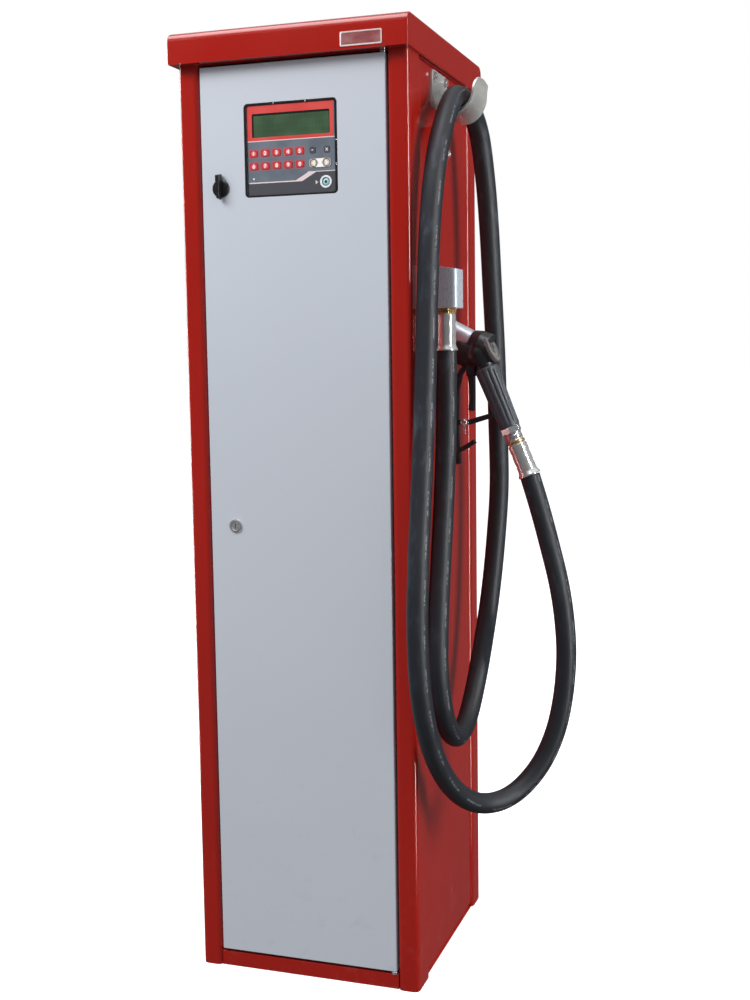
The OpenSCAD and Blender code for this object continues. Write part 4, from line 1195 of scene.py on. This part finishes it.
class DISPENSER_OT_keys(Builder):
    """Mould the keys and print their generic digits and marks"""
    bl_idname = "dispenser.keys"
    bl_label = "Keys"

    def cap(self, node, corner, crown):
        """A key cap: a flange behind the plate and a crowned top in front of it."""
        low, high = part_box(node)
        flange = 0.001
        centre = middle(node)
        width = high.x - low.x - 2 * flange
        height = high.z - low.z - 2 * flange
        bm = bmesh.new()
        back = facing(Vector((centre.x, high.y, centre.z)), (0, -1, 0))
        plate(bm, height + 2 * flange, width + 2 * flange, corner, flange, back)
        stem = plate(bm, height, width, corner, high.y - low.y - flange,
                     back @ Matrix.Translation((0, 0, flange)))
        front = [f for f in {f for v in stem for f in v.link_faces} if f.normal.y < -0.99]
        bmesh.ops.inset_region(bm, faces=front, thickness=0.0009)
        bmesh.ops.translate(bm, vec=(0, crown, 0),
                            verts=list({v for f in front for v in f.verts}))
        return bm, centre, low.y

    def digit(self, bm, text, height, centre, face):
        """A raised mark on a cap's face, as the cap's second finish."""
        mesh = digit_shape(text, height)
        place = Matrix.Translation((centre.x, face + 0.00025, centre.z)) @ Matrix.Rotation(
            math.radians(90), 4, "X")
        mesh.transform(place)
        old = set(bm.faces)
        bm.from_mesh(mesh)
        bpy.data.meshes.remove(mesh)
        for face_made in bm.faces:
            if face_made not in old:
                face_made.material_index = 1

    def build(self, sizes):
        marks = [(text, text, sizes.digit, "key_red") for text in "1234567890"]
        marks += [("minus", "-", 0.007, "key_grey"), ("cancel", "x", 0.006, "key_grey")]
        for name, text, height, finish in marks:
            node = "key_" + name
            bm, centre, face = self.cap(node, 0.002, 0.0003)
            self.digit(bm, text, height, centre, face)
            piece(bm, "cap_" + name, node, (finish, "key_print"), node, 0.0002, 2)
        bm = self.cap("arrow_rocker", 0.0045, 0.0004)[0]
        piece(bm, "rocker_cap", "arrow_rocker", "key_cream", "arrow_rocker", 0.0003, 2)


# ---- side fittings ----

class DISPENSER_OT_hook(Builder):
    """Press the hose hook and drive its bolts and the eyelet screw"""
    bl_idname = "dispenser.hook"
    bl_label = "Hose hook"

    def build(self, sizes):
        refined("hose_hook", "cabinet", "hook_steel", 0.0007, 3, crease=40.0)
        low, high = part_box("hose_hook")
        inset = 0.011
        bm = bmesh.new()
        for y in (low.y + inset, high.y - inset):
            place = facing(Vector((low.x + 0.003, y, high.z - 0.009)), (1, 0, 0))
            turned(bm, [(0, 0), (0.0072, 0), (0.0072, 0.0009), (0.0045, 0.0012), (0, 0.0012)],
                   place, 32)
            hexagon(bm, 0.0056, 0.0012, 0.0036, place)
        eyelet_y = 0.030
        eyelet_z = 1.3292
        place = facing(Vector((low.x, eyelet_y, eyelet_z)), (1, 0, 0))
        turned(bm, [(0.0028, 0.0), (0.0060, 0.0), (0.0060, 0.0020), (0.0052, 0.0036),
                    (0.0040, 0.0040), (0.0028, 0.0030), (0.0028, 0.0)], place, 40)
        turned(bm, [(0, 0), (0.0027, 0), (0.0027, 0.0016), (0, 0.0018)], place, 24)
        piece(bm, "hook_bolts", "cabinet", "bright_steel", "side_bolts", 0.0003, 2)


def ferrule_profile(length, radius, flare):
    """Crimped tube: a chamfer, two shallow crimp rings, and a flared mouth."""
    mouth = length - 0.009
    crimp = 0.0006
    rings = []
    for at in (0.30, 0.62):
        middle = length * at
        rings += [(radius, middle - 0.0035), (radius - crimp, middle - 0.0022),
                  (radius - crimp, middle + 0.0022), (radius, middle + 0.0035)]
    return [(0, 0), (radius - 0.003, 0), (radius - 0.0022, 0.0006), (radius, 0.0032)] + rings + [
        (radius, mouth - 0.001), (radius + 0.0007, mouth + 0.002),
        (flare - 0.0004, length - 0.003), (flare, length - 0.0018), (flare, length - 0.0004),
        (flare - 0.0006, length), (radius + 0.0012, length), (0, length)]


class DISPENSER_OT_outlet(Builder):
    """Fold the outlet's hood and fit its elbow, nut and ferrule"""
    bl_idname = "dispenser.outlet"
    bl_label = "Outlet"

    def build(self, sizes):
        self.hood()
        refined("outlet_elbow", "cabinet", "brass_fitting", 0.0008, 3)
        low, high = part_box("outlet_ferrule")
        centre = middle("outlet_ferrule")
        bm = bmesh.new()
        turned(bm, ferrule_profile(high.z - low.z, 0.0155, (high.x - low.x) / 2),
               facing(Vector((centre.x, centre.y, high.z)), (0, 0, -1)), 72)
        piece(bm, "outlet_crimp", "cabinet", "chrome_ferrule", "outlet_ferrule")

    def hood(self):
        """A sheet hood, open below and towards the panel, with round upright folds."""
        low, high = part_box("outlet_hood")
        slope = 0.009
        fold = 0.009
        bm = bmesh.new()
        for vert in block(bm, low, high):
            if vert.co.z > low.z + 0.01 and vert.co.x > low.x + 0.01:
                vert.co.z -= slope
        uprights = [e for e in bm.edges if abs(e.verts[0].co.x - high.x) < 1e-6
                    and abs(e.verts[0].co.x - e.verts[1].co.x) < 1e-6
                    and abs(e.verts[0].co.y - e.verts[1].co.y) < 1e-6]
        bmesh.ops.bevel(bm, geom=uprights, affect="EDGES", offset=fold, segments=8,
                        profile=0.5, material=-1)
        opened = [f for f in bm.faces if f.normal.z < -0.9 or f.normal.x < -0.9]
        bmesh.ops.delete(bm, geom=opened, context="FACES")
        piece(bm, "outlet_cover", "cabinet", "hood_steel", "outlet_hood", 0.0007, 2,
              thickness=0.0015, crease=50.0)


# ---- nozzle ----

def on_handle(distance):
    return facing(HEAD + HANDLE_WAY * distance, HANDLE_WAY)


class DISPENSER_OT_nozzle(Builder):
    """Cast the nozzle's head and fit its cap, grip, spout, guard, swivel and ferrule"""
    bl_idname = "dispenser.nozzle"
    bl_label = "Nozzle"

    def build(self, sizes):
        self.head()
        self.cap()
        self.grip(sizes)
        self.spout()
        self.swivel()
        self.thicken(refined("trigger_guard", "nozzle", "nozzle_black", 0.0018, 3), 0.0013)

    def head(self):
        """Sphere, cap seat, handle core, collar sleeve and trigger lugs, blended like a casting."""
        bm = bmesh.new()
        ball = bmesh.ops.create_uvsphere(bm, u_segments=48, v_segments=32, radius=0.025)["verts"]
        moved(bm, ball, Matrix.Translation(HEAD))
        turned(bm, [(0, -0.004), (0.0235, -0.004), (0.0235, 0.0168), (0, 0.0168)],
               facing(HEAD, CAP_WAY))
        turned(bm, [(0, 0), (0.016, 0), (0.016, 0.130), (0, 0.130)], on_handle(0))
        barrel = turned(bm, [(0, -0.004), (0.0235, -0.004), (0.0235, 0.028), (0.0215, 0.037),
                             (0.0175, 0.0405), (0, 0.0405)], facing(HEAD, (-1, 0, 0.10)))
        for vert in barrel:
            vert.co.y *= 0.84
        turned(bm, [(0, -0.012), (0.0245, -0.012), (0.0225, 0.006), (0.0172, 0.0195),
                    (0.0172, 0.0198), (0, 0.0198)], facing(SPOUT_ROOT, SPOUT_WAY))
        p = TRIGGER_PIVOT
        for side in (-1, 1):
            inner = side * 0.0073
            outer = side * 0.0108
            block(bm, (p.x - 0.006, min(inner, outer), p.z - 0.006),
                  (p.x + 0.008, max(inner, outer), p.z + 0.026))
        obj = piece(bm, "nozzle_casting", "nozzle", "nozzle_black", "nozzle_body",
                    weighted=False)
        cast_skin = obj.modifiers.new("Casting", "REMESH")
        cast_skin.mode = "VOXEL"
        cast_skin.voxel_size = 0.00095
        cast_skin.use_smooth_shade = True
        soften = obj.modifiers.new("Fillets", "SMOOTH")
        soften.factor = 0.5
        soften.iterations = 6

    def cap(self):
        """The round cap over the valve, with a raised rim and a ring of finger notches."""
        place = facing(HEAD + CAP_WAY * 0.017, CAP_WAY)
        bm = bmesh.new()
        radius = 0.025
        turned(bm, [(0, 0), (radius - 0.001, 0), (radius, 0.001), (radius, 0.0056),
                    (radius - 0.0012, 0.0072), (radius - 0.0030, 0.0078),
                    (radius - 0.0052, 0.0078), (radius - 0.0062, 0.0062),
                    (0.0090, 0.0058), (0.0080, 0.0070), (0.0030, 0.0076), (0, 0.0076)],
               place, 96)
        piece(bm, "valve_cap", "nozzle", "nozzle_cap_grey", "nozzle_cap")

    def grip(self, sizes):
        """Moulded sleeve with rounded ribs that fade out at both ends."""
        start = 0.026
        length = 0.104
        taper = 0.0026
        ribs = 12
        sides = 168
        stations = 44
        rings = []
        bm = bmesh.new()
        for k in range(stations + 1):
            t = k / stations
            fade = min(1.0, t / 0.10, (1 - t) / 0.16)
            fade = fade * fade * (3 - 2 * fade)
            end = min(1.0, t / 0.02, (1 - t) / 0.03)
            outer = sizes.grip_radius - 0.0014 * (1 - end) - taper * t
            ring = bmesh.ops.create_circle(bm, segments=sides, radius=1.0)["verts"]
            for vert in ring:
                turn = math.atan2(vert.co.y, vert.co.x)
                groove = 1 - abs(math.cos(turn * ribs / 2)) ** 0.6
                radius = outer - 0.0019 * fade * groove
                vert.co = Vector((vert.co.x * radius, vert.co.y * radius, 0))
            moved(bm, ring, on_handle(start + length * t))
            rings.append(ring)
        lofted(bm, rings)
        piece(bm, "ribbed_grip", "nozzle", "grip_black", "nozzle_grip", crease=60.0)

    def spout(self):
        """The spout's tube in its collar, with two rings on the tube."""
        collar_from = 0.020
        collar_to = 0.07814
        tip = 0.19014
        profile = [(0.0105, tip - 0.001), (0.0105, collar_from + 0.004), (0, collar_from + 0.004),
                   (0, collar_from), (0.0152, collar_from), (0.0160, collar_from + 0.0010),
                   (0.0160, collar_to - 0.0012), (0.0150, collar_to), (0.0125, collar_to),
                   (0.0125, tip - 0.0010), (0.0120, tip), (0.0108, tip), (0.0105, tip - 0.001)]
        bm = bmesh.new()
        turned(bm, profile, facing(SPOUT_ROOT, SPOUT_WAY), 72)
        for at in (0.150, 0.164):
            turned(bm, [(0.0124, at), (0.0129, at + 0.0004), (0.0129, at + 0.0016),
                        (0.0124, at + 0.002)], facing(SPOUT_ROOT, SPOUT_WAY), 72)
        piece(bm, "spout_tube", "nozzle", "alloy", "nozzle_spout")

    def swivel(self):
        """Hexagon, drilled barrel and brass ring between the grip and the ferrule."""
        start = on_handle(0.130)
        bm = bmesh.new()
        hexagon(bm, 0.0168, 0.0, 0.0098, start)
        turned(bm, [(0, 0.0095), (0.0140, 0.0095), (0.0140, 0.0125), (0.0132, 0.0130),
                    (0.0132, 0.0142), (0.0140, 0.0148), (0.0140, 0.0202), (0.0132, 0.0208),
                    (0.0132, 0.0220), (0.0140, 0.0226), (0.0140, 0.0240), (0, 0.0240)], start)
        piece(bm, "swivel_barrel", "nozzle", "bright_steel", "nozzle_swivel", 0.0004, 2)
        bm = bmesh.new()
        turned(bm, [(0.0100, 0.0241), (0.0144, 0.0241), (0.0150, 0.0248), (0.0150, 0.0272),
                    (0.0144, 0.0279), (0.0100, 0.0279), (0.0100, 0.0241)], start)
        piece(bm, "swivel_ring", "nozzle", "brass_fitting")
        bm = bmesh.new()
        turned(bm, ferrule_profile(0.0565, 0.0155, 0.0185), on_handle(0.158), 72)
        piece(bm, "nozzle_crimp", "nozzle", "chrome_ferrule", "nozzle_ferrule")

    def thicken(self, guard, extra):
        """Round bars as thick as moulded ones, with their sides left clear of the latch."""
        half_width = 0.0061
        for vert in guard.data.vertices:
            across = Vector((vert.normal.x, 0, vert.normal.z))
            if across.length > 0.2 and abs(vert.co.y) < half_width:
                vert.co += across.normalized() * extra


class DISPENSER_OT_trigger(Builder):
    """Mould the trigger and its hold-open latch"""
    bl_idname = "dispenser.trigger"
    bl_label = "Trigger and latch"

    def build(self, sizes):
        refined("nozzle_trigger", "trigger", "nozzle_black", 0.0016, 3)
        refined("trigger_latch", "latch", "bright_steel", 0.0004)
        bm = bmesh.new()
        turned(bm, [(0, 0), (0.0046, 0), (0.0047, 0.0007), (0.0040, 0.0013), (0.0028, 0.0010),
                    (0, 0.0009)],
               facing(LATCH_PIVOT + Vector((0, -0.0109, 0)), (0, -1, 0)), 32)
        piece(bm, "latch_rivet", "nozzle", "bright_steel")


class DISPENSER_OT_boot(Builder):
    """Mould the boot that the spout stands in"""
    bl_idname = "dispenser.boot"
    bl_label = "Nozzle boot"

    def build(self, sizes):
        refined("nozzle_boot", "cabinet", "black_plastic", sizes.moulding * 1.3, 3)
        low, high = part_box("nozzle_boot")
        flange_middle = 1.0498
        rise = 0.033
        inset = 0.007
        bm = bmesh.new()
        for y in (low.y + inset, high.y - inset):
            for z in (flange_middle - rise, flange_middle + rise):
                turned(bm, [(0, 0), (0.0032, 0), (0.0032, 0.0006), (0.0018, 0.0014), (0, 0.0015)],
                       facing(Vector((high.x, y, z)), (1, 0, 0)), 24)
        piece(bm, "boot_screws", "cabinet", "bright_steel")


# ---- pump set ----

class DISPENSER_OT_pump_set(Builder):
    """Fit the equipment frame, motor, pump, filter, meter and pipes inside the cabinet"""
    bl_idname = "dispenser.pump_set"
    bl_label = "Pump set"

    def build(self, sizes):
        for node, body, finish, rounding, segments in (
                ("equipment_frame", "cabinet", "frame_zinc", 0.0008, 2),
                ("motor", "cabinet", "motor_blue", 0.0012, 2),
                ("pump_shaft", "pump_shaft", "bright_steel", 0.0004, 2),
                ("pump_body", "cabinet", "cast_grey", 0.0030, 4),
                ("filter_canister", "cabinet", "filter_white", 0.0015, 3),
                ("flow_meter", "cabinet", "meter_alloy", 0.0025, 4),
                ("meter_rotor", "meter_rotor", "rotor_white", 0.0003, 2),
                ("pipework", "cabinet", "brass_fitting", 0.0010, 3)):
            refined(node, body, finish, rounding, segments)
        self.motor_fins()
        self.cover_bolts()

    def motor_fins(self):
        """Cooling fins along the back, top and front of the motor's barrel."""
        radius = 0.062
        count = 28
        finned_to = 218
        shaft = Matrix.Translation((0, 0, middle("pump_shaft").z))
        bm = bmesh.new()
        for k in range(count):
            turn = 360 / count * k + 4
            if turn > finned_to:
                continue
            fin = block(bm, (-0.112, -0.0011, radius - 0.001), (0.012, 0.0011, radius + 0.005))
            moved(bm, fin, shaft @ Matrix.Rotation(math.radians(turn - 90), 4, "X"))
        piece(bm, "motor_fins", "cabinet", "motor_blue", (), 0.0005, 2)

    def cover_bolts(self):
        """Hexagon bolts on the pump's end cover and the meter's front cover."""
        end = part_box("pump_body")[1].x
        shaft_z = middle("pump_shaft").z
        low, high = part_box("flow_meter")
        reach = 0.038
        inset = 0.012
        spots = []
        for y in (-reach, reach):
            for z in (shaft_z - reach, shaft_z + reach):
                spots.append(((end, y, z), (1, 0, 0)))
        for x in (low.x + inset, high.x - inset):
            for z in (low.z + inset, high.z - inset):
                spots.append(((x, low.y, z), (0, -1, 0)))
        bm = bmesh.new()
        for spot, way in spots:
            place = facing(spot, way)
            turned(bm, [(0, 0), (0.0075, 0), (0.0075, 0.0012), (0, 0.0012)], place, 24)
            hexagon(bm, 0.0062, 0.0012, 0.004, place)
        piece(bm, "cover_bolts", "cabinet", "bright_steel", (), 0.0003, 2)


# ---- stage ----

# Greys of the studio, from straight down to straight up: as it lights things, and as they
# mirror it.
SOFT_SKY = [(0.0, 0.30), (0.5, 0.42), (0.62, 0.60), (1.0, 0.75)]
MIRRORED_SKY = [(0.0, 0.06), (0.44, 0.08), (0.54, 0.05), (0.68, 0.08), (0.85, 0.60),
                (1.0, 0.90)]


class DISPENSER_OT_stage(Builder):
    """Lay a pale floor and set soft studio lights"""
    bl_idname = "dispenser.stage"
    bl_label = "Stage"

    def build(self, sizes):
        bm = bmesh.new()
        bmesh.ops.create_grid(bm, x_segments=1, y_segments=1, size=60.0)
        mesh = bpy.data.meshes.new("floor")
        bm.to_mesh(mesh)
        bm.free()
        floor = linked("floor", mesh)
        mesh.materials.append(Finish("floor_pale", (0.90, 0.90, 0.90), 0.9,
                                     Emission_Color=(1.0, 1.0, 1.0),
                                     Emission_Strength=0.55).material)
        floor.visible_glossy = False
        floor.visible_diffuse = False
        self.light("key", (-1.3, -2.0, 2.7), (0.0, 0.0, 1.15), 1.8, 1.1, 70.0, mirrored=False)
        self.light("back", (1.2, 3.0, 2.6), (0.0, 0.2, 1.0), 1.6, 1.6, 30.0, mirrored=False)
        self.light("streak_right", (3.2, -0.95, 1.0), (0.18, -0.15, 0.9), 0.22, 4.0, 110.0, False)
        self.light("streak_left", (-3.2, 0.9, 1.0), (-0.18, -0.15, 0.9), 0.20, 3.4, 60.0, False)
        self.light("overhead", (-0.4, -1.0, 3.9), (0.0, -0.1, 1.2), 3.0, 2.0, 90.0, False)
        self.light("side", (3.4, 0.5, 1.5), (0.18, 0.0, 0.8), 1.6, 2.0, 96.0, mirrored=False)
        self.sky()

    def light(self, name, at, towards, width, height, power, lights_up=True, mirrored=True):
        """An area light, which may only light things up or only be mirrored in them."""
        data = bpy.data.lights.new(name, "AREA")
        data.shape = "RECTANGLE"
        data.size = width
        data.size_y = height
        data.energy = power
        lamp = linked(name, data)
        lamp.visible_diffuse = lights_up
        lamp.visible_glossy = mirrored
        way = Vector(towards) - Vector(at)
        lamp.matrix_world = Matrix.Translation(at) @ way.to_track_quat("-Z", "Y").to_matrix().to_4x4()

    def sky(self):
        """White behind the object, and a softer grey room in its reflections."""
        world = bpy.data.worlds.new("studio")
        bpy.context.scene.world = world
        world.use_nodes = True
        tree = world.node_tree
        background = tree.nodes["Background"]
        path = tree.nodes.new("ShaderNodeLightPath").outputs
        split = tree.nodes.new("ShaderNodeSeparateXYZ")
        tree.links.new(tree.nodes.new("ShaderNodeTexCoord").outputs["Generated"],
                       split.inputs["Vector"])
        soft = self.ramp(tree, split.outputs["Z"], SOFT_SKY)
        mirrored = self.ramp(tree, split.outputs["Z"], MIRRORED_SKY)
        colour = self.choice(tree, path["Is Glossy Ray"], soft, mirrored)
        colour = self.choice(tree, path["Is Camera Ray"], colour, None)
        tree.links.new(colour, background.inputs["Color"])
        background.inputs["Strength"].default_value = 1.0
        bpy.context.scene.view_settings.view_transform = "Standard"

    def ramp(self, tree, height, stops):
        """Greys from straight down, at 0, to straight up, at 1."""
        centred = tree.nodes.new("ShaderNodeMapRange")
        centred.inputs["From Min"].default_value = -1.0
        tree.links.new(height, centred.inputs["Value"])
        ramp = tree.nodes.new("ShaderNodeValToRGB")
        for place, grey in stops[1:-1]:
            ramp.color_ramp.elements.new(place)
        for element, (place, grey) in zip(ramp.color_ramp.elements, stops):
            element.position = place
            element.color = (grey, grey, grey * 1.03, 1)
        tree.links.new(centred.outputs["Result"], ramp.inputs["Fac"])
        return ramp.outputs["Color"]

    def choice(self, tree, switch, off, on):
        """One colour or the other; white where the second is left open."""
        mix = tree.nodes.new("ShaderNodeMix")
        mix.data_type = "RGBA"
        mix.inputs[7].default_value = (1, 1, 1, 1)
        tree.links.new(switch, mix.inputs[0])
        tree.links.new(off, mix.inputs[6])
        if on:
            tree.links.new(on, mix.inputs[7])
        return mix.outputs[2]


STEPS = [
    DISPENSER_OT_camera, DISPENSER_OT_hoses, DISPENSER_OT_posts, DISPENSER_OT_panels,
    DISPENSER_OT_roof, DISPENSER_OT_door, DISPENSER_OT_locks, DISPENSER_OT_keypad,
    DISPENSER_OT_keys, DISPENSER_OT_hook, DISPENSER_OT_outlet, DISPENSER_OT_nozzle,
    DISPENSER_OT_trigger, DISPENSER_OT_boot, DISPENSER_OT_pump_set, DISPENSER_OT_stage,
]


class DISPENSER_PT_panel(bpy.types.Panel):
    """Lists the sizes, the colours and the steps that build the dispenser."""
    bl_idname = "DISPENSER_PT_panel"
    bl_label = "Fuel Dispenser"
    bl_space_type = "VIEW_3D"
    bl_region_type = "UI"
    bl_category = "Dispenser"

    def draw(self, context):
        for group in (context.scene.dispenser_sizes, context.scene.dispenser_colours):
            box = self.layout.box()
            for key in group.bl_rna.properties.keys():
                if key not in {"rna_type", "name"}:
                    box.prop(group, key)
        for step in STEPS:
            self.layout.operator(step.bl_idname)


CLASSES = [DispenserColours, DispenserSizes, *STEPS, DISPENSER_PT_panel]


def register():
    for cls in CLASSES:
        bpy.utils.register_class(cls)
    bpy.types.Scene.dispenser_colours = bpy.props.PointerProperty(type=DispenserColours)
    bpy.types.Scene.dispenser_sizes = bpy.props.PointerProperty(type=DispenserSizes)


def unregister():
    del bpy.types.Scene.dispenser_sizes
    del bpy.types.Scene.dispenser_colours
    for cls in reversed(CLASSES):
        bpy.utils.unregister_class(cls)


def main():
    register()
    for step in STEPS:
        group, name = step.bl_idname.split(".")
        getattr(getattr(bpy.ops, group), name)()


if __name__ == "__main__":
    main()
